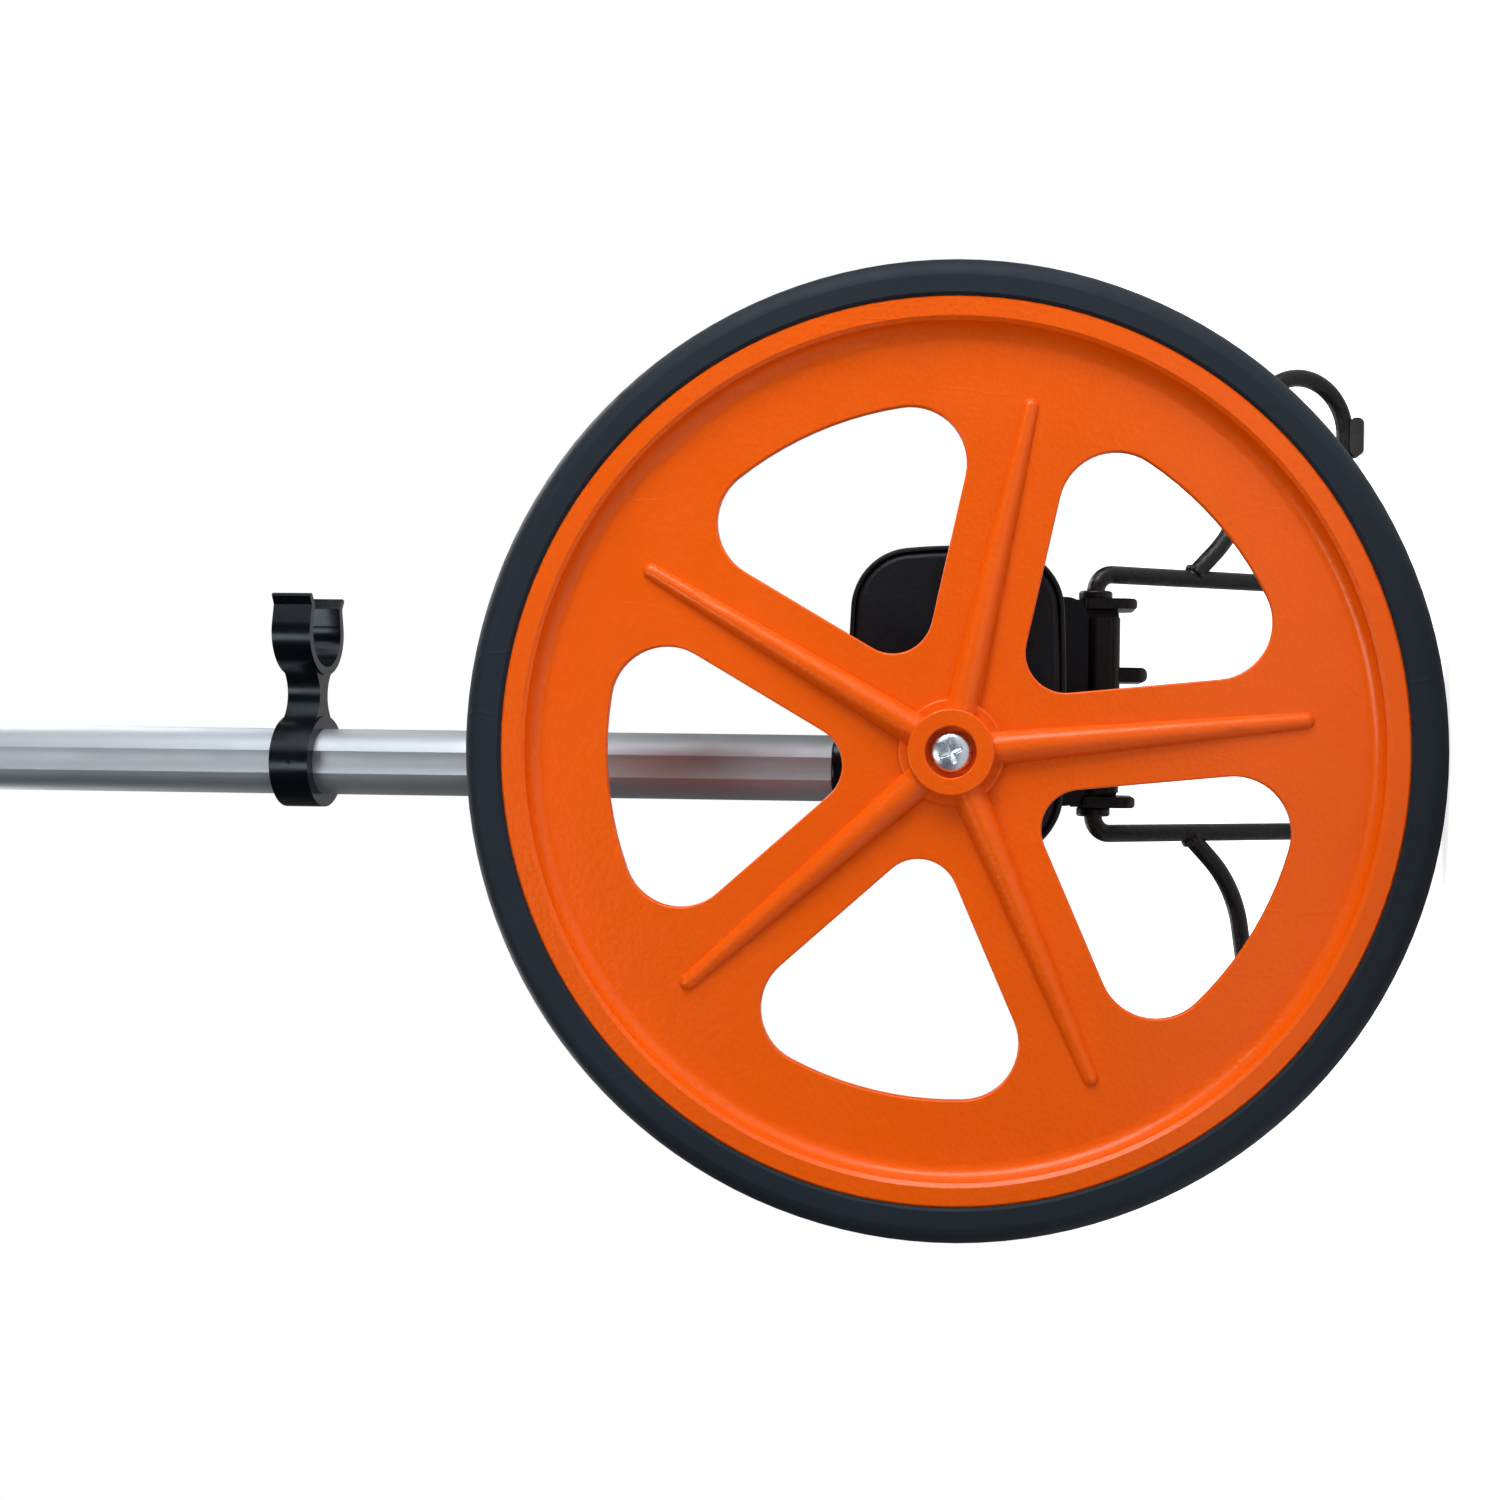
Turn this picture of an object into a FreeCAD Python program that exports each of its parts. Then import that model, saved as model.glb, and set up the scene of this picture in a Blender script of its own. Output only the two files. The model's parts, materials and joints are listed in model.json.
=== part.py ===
import FreeCAD, Part
import math
import os

os.makedirs("parts", exist_ok=True)

# All lengths are in millimetres. X runs across the handle, Y along the axle
# from the wheel towards the stand, Z up the handle from the ground.

# Driving dimensions
ROLL_PER_TURN = 1000.0
OVERALL_HEIGHT = 1000.0
TUBE_R = 12.0
TUBE_WALL = 2.6
WIRE_R = 3.4
RUNNING_GAP = 0.05
SPLIT_GAP = 0.3

# Wheel, worked out from the distance rolled in one turn
TYRE_R = ROLL_PER_TURN / (2.0 * math.pi)
AXLE_Z = TYRE_R
RIM_R = 0.9212 * TYRE_R
TYRE_HALF_WIDTH = 9.5
RIM_HALF_WIDTH = 9.0
RIM_FACE_R = RIM_R - 6.4
RIM_WALL_R = RIM_FACE_R - 1.3
COVE_R = 5.0
DISC_R = RIM_WALL_R - COVE_R
DISC_FRONT = -3.0
DISC_BACK = 0.0
SPOKES = 5
SPOKE_STEP = 360.0 / SPOKES
FIRST_SPOKE = 5.8
RIB_ROOT_R = 5.6
RIB_TIP_R = 2.9
RIB_TIP_AT = 0.802 * RIM_R
WINDOW_SIDE = 15.8
WINDOW_INNER_ROUND = 13.0
WINDOW_OUTER_ROUND = 18.5
WINDOW_OUTER_R = 0.773 * RIM_R
HUB_R = 14.1
HUB_STEP_R = 17.4
HUB_STEP = 2.0
STEP_SOFT = 0.9
HUB_FRONT = -10.0
HUB_BACK = 15.0
HUB_RECESS_R = 8.3
HUB_RECESS_FLOOR = -5.5
SHAFT_R = 5.0

# Housing, measured behind the middle plane of the tyre
CASE_X = 16.7
CASE_Z = 158.8
CASE_HALF_X = 53.0
CASE_HALF_Z = 37.0
CASE_ROUND = 21.0
CASE_BULGE = 0.8
CASE_WALL = 2.5
CASE_FRONT = 20.0
CASE_SPLIT = 40.0
CASE_BACK = 90.0
LIP = 1.5
COVER_CROWN = 18.0
COVER_BACK = 24.4
COVER_SOFT = 2.4
CROWN_R = 820.0

# Gear train between the wheel shaft and the counter
MODULE = 1.0
TEETH = 20
PITCH_R = MODULE * TEETH / 2.0
COUNTER_X = 38.0
COUNTER_Z = AXLE_Z + math.sqrt((4.0 * PITCH_R) ** 2 - COUNTER_X ** 2)
TRAIN_ANGLE = math.degrees(math.atan2(COUNTER_Z - AXLE_Z, COUNTER_X))
GEAR_FRONT = 26.5
GEAR_WIDTH = 5.0
PLATE_FRONT = 33.0
PLATE_THICK = 2.0
DRUMS = 5
DRUM_R = 14.0
DRUM_PITCH = 5.6
DRUM_WIDTH = 5.3
DRUM_FRONT = 43.0
COUNTER_SHAFT_R = 2.5
CARRY_R = 2.9
CARRY_Z = COUNTER_Z - DRUM_R - CARRY_R - 0.5

# Handle tube, fold hinge and grip
TUBE_X = -7.0
TUBE_Y = 60.0
SOCKET_R = 15.0
SOCKET_TOP = 204.0
TUBE_FOOT = 176.2
HINGE_X = 16.5
HINGE_Z = 0.62 * OVERALL_HEIGHT
HINGE_EAR_R = 8.0
HINGE_PIN_R = 3.0
KNUCKLE_LENGTH = 45.0
TUBE_SEAT = 26.0
FLUTE_WIDTH = 8.1
FLUTE_R = 12.0
GRIP_R = 16.5
GRIP_LENGTH = 132.0
BUTTON_R = 4.5
BUTTON_Z = HINGE_Z - 14.0

# Storage clip for the folded handle
CLIP_X = 2.0 * HINGE_X - TUBE_X
CLIP_Z = 399.0
CLIP_WIDTH = 14.0
CLIP_INNER = TUBE_R + 0.25
CLIP_WALL = 3.0
CLIP_RING_R = TUBE_R + 4.6
NECK_HALF = 3.4
NECK_HOLLOW_R = 12.4
NECK_WIDE = 9.0

# Stand
PIVOT_Y = 97.0
PIVOT_Z = 109.1
LEAN = 25.0
STAND_X = 18.3
ARM_HALF = 49.6
ARM_BEND = 7.0
STAND_TIE = 103.0
TIE_BEND = 12.0
KNEE = (71.3, 63.4)
KNEE_BEND = 50.0
HOOK_R = 21.2
HOOK_OUT = 111.4
HOOK_DOWN = 91.4
# Each lug: its two sides across the handle, its lowest point, its corner radius
LUGS = (
    (53.6, 57.5, 93.8, 1.6),
    (26.2, 31.7, 89.8, 2.6),
    (4.9, 10.4, 89.8, 2.6),
    (-20.9, -16.7, 93.8, 1.6))
COLLAR_LENGTH = 3.5
PAD_LENGTH = 15.2
PAD_HEIGHT = 5.6
PAD_FRONT = 141.0
PAD_BACK = 149.6

DEPTH_SHIFT = -0.5 * (HUB_FRONT + PAD_BACK)

ALONG_X = FreeCAD.Vector(1, 0, 0)
ALONG_Y = FreeCAD.Vector(0, 1, 0)
ALONG_Z = FreeCAD.Vector(0, 0, 1)


def at(x, y, z):
    return FreeCAD.Vector(x, y, z)


def block(x0, x1, y0, y1, z0, z1):
    return Part.makeBox(x1 - x0, y1 - y0, z1 - z0, at(x0, y0, z0))


def rod_x(x0, x1, y, z, r):
    return Part.makeCylinder(r, x1 - x0, at(x0, y, z), ALONG_X)


def rod_y(x, y0, y1, z, r):
    return Part.makeCylinder(r, y1 - y0, at(x, y0, z), ALONG_Y)


def rod_z(x, y, z0, z1, r):
    return Part.makeCylinder(r, z1 - z0, at(x, y, z0), ALONG_Z)


def sleeve_y(x, y0, y1, z, outer, inner):
    return rod_y(x, y0, y1, z, outer).cut(rod_y(x, y0, y1, z, inner))


def sleeve_z(x, y, z0, z1, outer, inner):
    return rod_z(x, y, z0, z1, outer).cut(rod_z(x, y, z0, z1, inner))


def joined(shapes):
    """Fuse a list of solids into one clean solid."""
    whole = shapes[0]
    for shape in shapes[1:]:
        whole = whole.fuse(shape)
    return whole.removeSplitter()


def edges_along(shape, axis):
    """Straight edges of a solid that run along one axis."""
    picked = []
    for edge in shape.Edges:
        if isinstance(edge.Curve, Part.Line):
            if abs(abs(edge.Curve.Direction.dot(axis)) - 1.0) < 1e-6:
                picked.append(edge)
    return picked


def edges_on_plane_y(shape, y, nearest, furthest, x=0.0, z=AXLE_Z):
    """Edges lying in one plane across the axle, by distance from an axis."""
    picked = []
    for edge in shape.Edges:
        bounds = edge.BoundBox
        if abs(bounds.YMin - y) < 1e-4 and abs(bounds.YMax - y) < 1e-4:
            middle = edge.valueAt(0.5 * (edge.FirstParameter + edge.LastParameter))
            away = math.hypot(middle.x - x, middle.z - z)
            if nearest < away < furthest:
                picked.append(edge)
    return picked


def soft_block(x0, x1, y0, y1, z0, z1, axis, r):
    """A block with its four edges along one axis rounded."""
    solid = block(x0, x1, y0, y1, z0, z1)
    return solid.makeFillet(r, edges_along(solid, axis))


def turned(steps, x=0.0, z=AXLE_Z):
    """Turn a closed (radius, y) profile about an axis along Y.

    Each step is a point, or a pair of points for an arc through the first
    to the second."""
    def place(point):
        return at(x + point[0], point[1], z)
    edges = []
    here = place(steps[0])
    for step in steps[1:] + [steps[0]]:
        if isinstance(step[0], tuple):
            through = place(step[0])
            end = place(step[1])
            edges.append(Part.Arc(here, through, end).toShape())
        else:
            end = place(step)
            edges.append(Part.LineSegment(here, end).toShape())
        here = end
    face = Part.Face(Part.Wire(edges))
    return face.revolve(at(x, 0, z), ALONG_Y, 360.0)


def about_axle(shape, degrees):
    copy = shape.copy()
    copy.rotate(at(0, 0, AXLE_Z), ALONG_Y, degrees)
    return copy


def save(node, shape):
    solid = shape.copy()
    solid.translate(at(0, DEPTH_SHIFT, 0))
    solid.exportStep("parts/" + node + ".step")


# ---------------------------------------------------------------- wheel

def tyre():
    """Solid rubber tyre with a locating key that sits in the rim groove."""
    seat = RIM_R + 0.02
    shoulder = TYRE_R - 0.7
    half = TYRE_HALF_WIDTH
    round_through = (TYRE_R - 3.2, half - 0.9)
    return turned([
        (seat, -half + 1.0), (seat + 1.0, -half),
        (TYRE_R - 6.0, -half), ((round_through[0], -round_through[1]), (shoulder, -6.2)),
        (TYRE_R, -5.0), (TYRE_R, -2.6), (TYRE_R - 0.8, -2.2), (TYRE_R - 0.8, -1.6),
        (TYRE_R, -1.2), (TYRE_R, 1.2), (TYRE_R - 0.8, 1.6), (TYRE_R - 0.8, 2.2),
        (TYRE_R, 2.6), (TYRE_R, 5.0),
        (shoulder, 6.2), (round_through, (TYRE_R - 6.0, half)),
        (seat + 1.0, half), (seat, half - 1.0),
        (seat, 2.4), (seat - 1.8, 2.4), (seat - 1.8, -2.4), (seat, -2.4)])


def wheel_body_of_revolution():
    """Rim, disc and hub as one turned profile."""
    groove = RIM_R - 2.0
    half = RIM_HALF_WIDTH
    diagonal = math.sqrt(0.5)
    cove_side = DISC_R + COVE_R * diagonal
    step_flat = HUB_STEP_R - STEP_SOFT
    step_side = step_flat + STEP_SOFT * diagonal
    step_drop = STEP_SOFT * (1.0 - diagonal)
    step_front = DISC_FRONT - HUB_STEP
    step_back = DISC_BACK + HUB_STEP
    front_turn = DISC_FRONT - COVE_R
    back_turn = DISC_BACK + COVE_R
    return turned([
        (SHAFT_R + RUNNING_GAP, HUB_RECESS_FLOOR),
        (HUB_RECESS_R, HUB_RECESS_FLOOR),
        (HUB_RECESS_R, HUB_FRONT + 0.4), (HUB_RECESS_R + 0.4, HUB_FRONT),
        (HUB_R - 0.8, HUB_FRONT),
        ((HUB_R - 0.23, HUB_FRONT + 0.23), (HUB_R, HUB_FRONT + 0.8)),
        (HUB_R, step_front), (step_flat, step_front),
        ((step_side, step_front + step_drop), (HUB_STEP_R, step_front + STEP_SOFT)),
        (HUB_STEP_R, DISC_FRONT), (DISC_R, DISC_FRONT),
        ((cove_side, front_turn + COVE_R * diagonal), (RIM_WALL_R, front_turn)),
        (RIM_FACE_R, -half), (RIM_R - 0.7, -half), (RIM_R, -half + 0.7),
        (RIM_R, -2.6), (groove, -2.6), (groove, 2.6), (RIM_R, 2.6),
        (RIM_R, half - 0.7), (RIM_R - 0.7, half), (RIM_FACE_R, half),
        (RIM_WALL_R, half - 1.0), (RIM_WALL_R, back_turn),
        ((cove_side, back_turn - COVE_R * diagonal), (DISC_R, DISC_BACK)),
        (HUB_STEP_R, DISC_BACK), (HUB_STEP_R, step_back - STEP_SOFT),
        ((step_side, step_back - step_drop), (step_flat, step_back)),
        (HUB_R, step_back), (HUB_R, HUB_BACK), (SHAFT_R + RUNNING_GAP, HUB_BACK)])


def window_cutter(centre_angle):
    """One opening between two ribs, as a prism through the disc.

    The two straight sides run parallel to the ribs. Angles run from +Z
    towards +X in the plane of the wheel."""
    half_step = math.radians(SPOKE_STEP / 2.0)
    inner_at = (WINDOW_SIDE + WINDOW_INNER_ROUND) / math.sin(half_step)
    corner_out = WINDOW_OUTER_R - WINDOW_OUTER_ROUND
    corner_off = WINDOW_SIDE + WINDOW_OUTER_ROUND
    corner_turn = half_step - math.asin(corner_off / corner_out)

    def point(distance, angle):
        return at(distance * math.sin(angle), DISC_FRONT - 1.0, AXLE_Z + distance * math.cos(angle))

    def shifted(start, distance, angle):
        return start.add(at(distance * math.sin(angle), 0, distance * math.cos(angle)))

    inner = point(inner_at, 0.0)
    outline = []
    ends = {}
    for side in (1, -1):
        corner = point(corner_out, side * corner_turn)
        across = side * (half_step + math.pi / 2.0)
        ends[side] = (
            shifted(inner, WINDOW_INNER_ROUND, across),
            shifted(corner, WINDOW_OUTER_ROUND, across),
            shifted(corner, WINDOW_OUTER_ROUND, side * (half_step + math.pi / 2.0 + corner_turn) / 2.0),
            point(WINDOW_OUTER_R, side * corner_turn))
    right = ends[1]
    left = ends[-1]
    apex = point(inner_at - WINDOW_INNER_ROUND, 0.0)
    top = point(WINDOW_OUTER_R, 0.0)
    outline.append(Part.LineSegment(right[0], right[1]).toShape())
    outline.append(Part.Arc(right[1], right[2], right[3]).toShape())
    outline.append(Part.Arc(right[3], top, left[3]).toShape())
    outline.append(Part.Arc(left[3], left[2], left[1]).toShape())
    outline.append(Part.LineSegment(left[1], left[0]).toShape())
    outline.append(Part.Arc(left[0], apex, right[0]).toShape())
    face = Part.Face(Part.Wire(outline))
    prism = face.extrude(at(0, DISC_BACK - DISC_FRONT + 2.0, 0))
    return about_axle(prism, centre_angle)


def rib(angle, surface, into_disc):
    """Half-round tapered rib lying on one face of the disc."""
    start = HUB_R - 4.0
    length = RIB_TIP_AT - RIB_TIP_R - start
    sink = 1.1 * into_disc
    axis = at(0, sink, length)
    base = at(0, surface, AXLE_Z + start)
    cone = Part.makeCone(RIB_ROOT_R, RIB_TIP_R, axis.Length, base, axis)
    tip = Part.makeSphere(RIB_TIP_R, base.add(axis))
    return about_axle(cone.fuse(tip), angle)


def wheel_disc():
    """Moulded wheel: rim, disc with five openings, ribs on both faces, hub."""
    body = wheel_body_of_revolution()
    angles = [180.0 - (FIRST_SPOKE + SPOKE_STEP * n) for n in range(SPOKES)]
    for angle in angles:
        body = body.cut(window_cutter(angle + SPOKE_STEP / 2.0))
    rims = edges_on_plane_y(body, DISC_FRONT, HUB_STEP_R + 1.0, DISC_R - 1.0)
    rims += edges_on_plane_y(body, DISC_BACK, HUB_STEP_R + 1.0, DISC_R - 1.0)
    body = body.makeFillet(0.7, rims)
    ribs = []
    for angle in angles:
        ribs.append(rib(angle, DISC_FRONT, 1.0))
        ribs.append(rib(angle, DISC_BACK, -1.0))
    clear = turned([(0.0, -60.0), (HUB_R - 1.0, -60.0), (HUB_R - 1.0, 60.0), (0.0, 60.0)])
    for piece in ribs:
        body = body.fuse(piece.cut(clear))
    return body.removeSplitter()


def wheel_shaft():
    """Shaft clamped in the hub, with a rear shoulder and a ring groove."""
    end = PLATE_FRONT + PLATE_THICK + 5.0
    return turned([
        (2.0, -5.0), (SHAFT_R, -5.0), (SHAFT_R, HUB_BACK + RUNNING_GAP),
        (8.0, HUB_BACK + RUNNING_GAP), (8.0, HUB_BACK + 1.5), (SHAFT_R, HUB_BACK + 1.5),
        (SHAFT_R, end - 3.2), (SHAFT_R - 0.6, end - 3.2), (SHAFT_R - 0.6, end - 2.0),
        (SHAFT_R, end - 2.0), (SHAFT_R, end - 0.5), (SHAFT_R - 0.5, end),
        (1.0, end), (1.0, 10.0), (2.0, 9.0)])


def hub_washer():
    return sleeve_y(0, HUB_RECESS_FLOOR - 1.0, HUB_RECESS_FLOOR, AXLE_Z, 5.9, 2.15)


def hub_screw():
    """Pan-head screw with a cross recess."""
    seat = HUB_RECESS_FLOOR - 1.0
    head = turned([
        (0.0, seat), (6.5, seat), (6.6, seat - 0.6), ((5.6, seat - 1.9), (3.4, seat - 2.4)),
        (0.0, seat - 2.6)])
    shank = rod_y(0, seat, 8.5, AXLE_Z, 1.95)
    screw = head.fuse(shank)
    taper = Part.makeCone(3.3, 0.9, 2.0, at(0, seat - 2.7, AXLE_Z), ALONG_Y)
    for turn in (20.0, 110.0):
        slot = block(-3.4, 3.4, seat - 3.0, seat - 0.7, AXLE_Z - 0.55, AXLE_Z + 0.55)
        screw = screw.cut(about_axle(slot, turn).common(taper))
    return screw.removeSplitter()


def snap_ring():
    """Open ring that keeps the wheel shaft in its rear bush."""
    y0 = PLATE_FRONT + PLATE_THICK + 1.9
    ring = sleeve_y(0, y0, y0 + 1.0, AXLE_Z, 7.0, SHAFT_R - 0.55)
    return ring.cut(block(-2.0, 2.0, y0 - 1.0, y0 + 2.0, AXLE_Z, AXLE_Z + 10.0))


# ------------------------------------------------------------ gear train

def gear(x, z, tooth_angle, bore):
    """Spur gear blank with trapezoid teeth, one tooth centred on an angle."""
    root = PITCH_R - 1.25 * MODULE
    tip = PITCH_R + 0.95 * MODULE
    half_root = 0.95 * MODULE
    half_tip = 0.34 * MODULE
    wheel = rod_y(x, GEAR_FRONT, GEAR_FRONT + GEAR_WIDTH, z, root)
    profile = [
        at(x + root - 1.0, GEAR_FRONT, z - half_root), at(x + root, GEAR_FRONT, z - half_root),
        at(x + tip, GEAR_FRONT, z - half_tip), at(x + tip, GEAR_FRONT, z + half_tip),
        at(x + root, GEAR_FRONT, z + half_root), at(x + root - 1.0, GEAR_FRONT, z + half_root)]
    face = Part.Face(Part.makePolygon(profile + [profile[0]]))
    tooth = face.extrude(at(0, GEAR_WIDTH, 0))
    teeth = []
    for n in range(TEETH):
        one = tooth.copy()
        one.rotate(at(x, 0, z), ALONG_Y, -(tooth_angle + n * 360.0 / TEETH))
        teeth.append(one)
    wheel = wheel.multiFuse(teeth).removeSplitter()
    return wheel.cut(rod_y(x, GEAR_FRONT - 1, GEAR_FRONT + GEAR_WIDTH + 1, z, bore))


def idler_stud():
    x = COUNTER_X / 2.0
    z = 0.5 * (AXLE_Z + COUNTER_Z)
    stud = rod_y(x, GEAR_FRONT - 0.8, PLATE_FRONT + PLATE_THICK + 2.0, z, 2.5)
    head = rod_y(x, GEAR_FRONT - 1.6, GEAR_FRONT - 0.5, z, 4.0)
    return stud.fuse(head).removeSplitter()


def gear_plate():
    """Steel plate behind the gears that carries shaft, stud and counter."""
    y0 = PLATE_FRONT
    y1 = PLATE_FRONT + PLATE_THICK
    plate = soft_block(-20.0, 53.0, y0, y1, 136.0, 182.0, ALONG_Y, 6.0)
    plate = plate.cut(rod_y(0, y0, y1, AXLE_Z, 8.05))
    plate = plate.cut(rod_y(COUNTER_X / 2.0, y0, y1, 0.5 * (AXLE_Z + COUNTER_Z), 2.52))
    plate = plate.cut(rod_y(COUNTER_X, y0, y1, COUNTER_Z, COUNTER_SHAFT_R + RUNNING_GAP))
    for x, z in plate_posts():
        plate = plate.cut(rod_y(x, y0, y1, z, 1.6))
    return plate


def plate_posts():
    return [(-14.0, 142.0), (47.0, 142.0), (-14.0, 175.0)]


def plate_screw(x, z):
    y1 = PLATE_FRONT + PLATE_THICK
    return rod_y(x, y1, y1 + 2.0, z, 2.8).fuse(rod_y(x, y1 - 7.0, y1, z, 1.5)).removeSplitter()


def shaft_bush(y0, y1, flange_at, outer=8.0):
    bush = sleeve_y(0, y0, y1, AXLE_Z, outer, SHAFT_R + RUNNING_GAP)
    return bush.fuse(sleeve_y(0, flange_at, flange_at + 1.0, AXLE_Z, outer + 1.8, SHAFT_R + RUNNING_GAP))


def counter_shaft():
    end = DRUM_FRONT + DRUMS * DRUM_PITCH + 4.0
    return rod_y(COUNTER_X, GEAR_FRONT - 1.0, end, COUNTER_Z, COUNTER_SHAFT_R)


def digit_drum(n):
    """Hollow number drum; the first grips the shaft, the others run on it."""
    y0 = DRUM_FRONT + n * DRUM_PITCH
    bore = COUNTER_SHAFT_R + (0.0 if n == 0 else RUNNING_GAP)
    drum = turned([
        (bore, y0), (DRUM_R - 0.3, y0), (DRUM_R, y0 + 0.3), (DRUM_R, y0 + DRUM_WIDTH - 0.3),
        (DRUM_R - 0.3, y0 + DRUM_WIDTH), (DRUM_R - 1.6, y0 + DRUM_WIDTH),
        (DRUM_R - 1.6, y0 + 1.6), (5.0, y0 + 1.6), (5.0, y0 + DRUM_WIDTH),
        (bore, y0 + DRUM_WIDTH)], COUNTER_X, COUNTER_Z)
    return drum


def carry_pinion(n):
    """Small eight-tooth pinion between two neighbouring drums."""
    y0 = DRUM_FRONT + (n + 0.5) * DRUM_PITCH + 0.2
    y1 = y0 + DRUM_PITCH - 0.6
    pinion = rod_y(COUNTER_X, y0, y1, CARRY_Z, CARRY_R)
    for step in range(8):
        angle = math.radians(45.0 * step)
        gap_x = COUNTER_X + CARRY_R * math.cos(angle)
        gap_z = CARRY_Z + CARRY_R * math.sin(angle)
        pinion = pinion.cut(rod_y(gap_x, y0, y1, gap_z, 0.65))
    return pinion.cut(rod_y(COUNTER_X, y0, y1, CARRY_Z, 1.0 + RUNNING_GAP))


def counter_frame():
    """Two cheeks and a base that hold the counter shaft and carry shaft."""
    front = DRUM_FRONT - 3.0
    back = DRUM_FRONT + DRUMS * DRUM_PITCH + 1.5
    base = CARRY_Z - 6.0
    cheeks = []
    for y0 in (front, back):
        cheek = soft_block(COUNTER_X - 12.0, COUNTER_X + 12.0, y0, y0 + 1.5, base, COUNTER_Z + 9.0,
                           ALONG_Y, 2.0)
        cheeks.append(cheek)
    floor = block(COUNTER_X - 10.0, COUNTER_X + 10.0, front, back + 1.5, base, base + 1.5)
    frame = joined(cheeks + [floor])
    frame = frame.cut(rod_y(COUNTER_X, front - 1, back + 3, COUNTER_Z, COUNTER_SHAFT_R + RUNNING_GAP))
    return frame.cut(rod_y(COUNTER_X, front - 1, back + 3, CARRY_Z, 1.0))


def carry_shaft():
    front = DRUM_FRONT - 3.0
    back = DRUM_FRONT + DRUMS * DRUM_PITCH + 3.0
    return rod_y(COUNTER_X, front, back, CARRY_Z, 1.0)


# --------------------------------------------------------------- housing

def case_face(y, inset, half_x=CASE_HALF_X, half_z=CASE_HALF_Z, x=CASE_X, z=CASE_Z):
    """Rounded rectangle with slightly bulged sides, smooth all the way round."""
    cx = half_x - CASE_ROUND - CASE_BULGE
    cz = half_z - CASE_ROUND - CASE_BULGE
    deep = CASE_ROUND + CASE_BULGE
    flat_x = (cx * cx + deep * deep - CASE_ROUND ** 2) / (2.0 * CASE_BULGE)
    flat_z = (cz * cz + deep * deep - CASE_ROUND ** 2) / (2.0 * CASE_BULGE)
    turn_top = math.atan2(cx, cz - (half_z - flat_x))
    turn_side = math.atan2(cz, cx - (half_x - flat_z))
    r = CASE_ROUND - inset
    across = r * math.sin(turn_top)
    up = r * math.cos(turn_top)
    side_across = r * math.cos(turn_side)
    side_up = r * math.sin(turn_side)
    middle = 0.5 * (turn_top + math.pi / 2.0 - turn_side)
    quarter = []
    for sx, sz in ((1, 1), (1, -1), (-1, -1), (-1, 1)):
        top = at(x + sx * (cx + across), y, z + sz * (cz + up))
        side = at(x + sx * (cx + side_across), y, z + sz * (cz + side_up))
        mid = at(x + sx * (cx + r * math.sin(middle)), y, z + sz * (cz + r * math.cos(middle)))
        quarter.append((top, mid, side))
    edges = [
        Part.Arc(quarter[3][0], at(x, y, z + half_z - inset), quarter[0][0]).toShape(),
        Part.Arc(quarter[0][0], quarter[0][1], quarter[0][2]).toShape(),
        Part.Arc(quarter[0][2], at(x + half_x - inset, y, z), quarter[1][2]).toShape(),
        Part.Arc(quarter[1][2], quarter[1][1], quarter[1][0]).toShape(),
        Part.Arc(quarter[1][0], at(x, y, z - half_z + inset), quarter[2][0]).toShape(),
        Part.Arc(quarter[2][0], quarter[2][1], quarter[2][2]).toShape(),
        Part.Arc(quarter[2][2], at(x - half_x + inset, y, z), quarter[3][2]).toShape(),
        Part.Arc(quarter[3][2], quarter[3][1], quarter[3][0]).toShape()]
    return Part.Face(Part.Wire(edges))


def case_prism(y0, y1, inset):
    return case_face(y0, inset).extrude(at(0, y1 - y0, 0))


def case_screws():
    inset = CASE_ROUND - 4.4
    slant = math.radians(15.0)
    out_x = CASE_HALF_X - CASE_ROUND - CASE_BULGE + inset * math.cos(slant)
    out_z = CASE_HALF_Z - CASE_ROUND - CASE_BULGE + inset * math.sin(slant)
    return [(CASE_X + sx * out_x, CASE_Z + sz * out_z) for sx in (-1, 1) for sz in (-1, 1)]


def front_cover():
    """Crowned cover plate that drops into the lip of the front housing."""
    plate = case_prism(COVER_CROWN - 2.0, COVER_BACK, LIP + SPLIT_GAP)
    ball = Part.makeSphere(CROWN_R, at(CASE_X, COVER_CROWN + CROWN_R, CASE_Z))
    cover = plate.common(ball)
    rims = [e for e in cover.Edges if e.BoundBox.YMax < COVER_CROWN + 2.5]
    cover = cover.makeFillet(COVER_SOFT, rims)
    cover = cover.fuse(rod_y(0, COVER_BACK - 3.0, COVER_BACK + 0.8, AXLE_Z, 11.0))
    cover = cover.cut(rod_y(0, COVER_CROWN - 3.0, COVER_BACK + 2.0, AXLE_Z, 8.02))
    for x, z in plate_posts():
        cover = cover.fuse(rod_y(x, COVER_BACK - 1.0, PLATE_FRONT, z, 3.2))
        cover = cover.cut(rod_y(x, PLATE_FRONT - 6.0, PLATE_FRONT, z, 1.52))
    return cover.removeSplitter()


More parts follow.
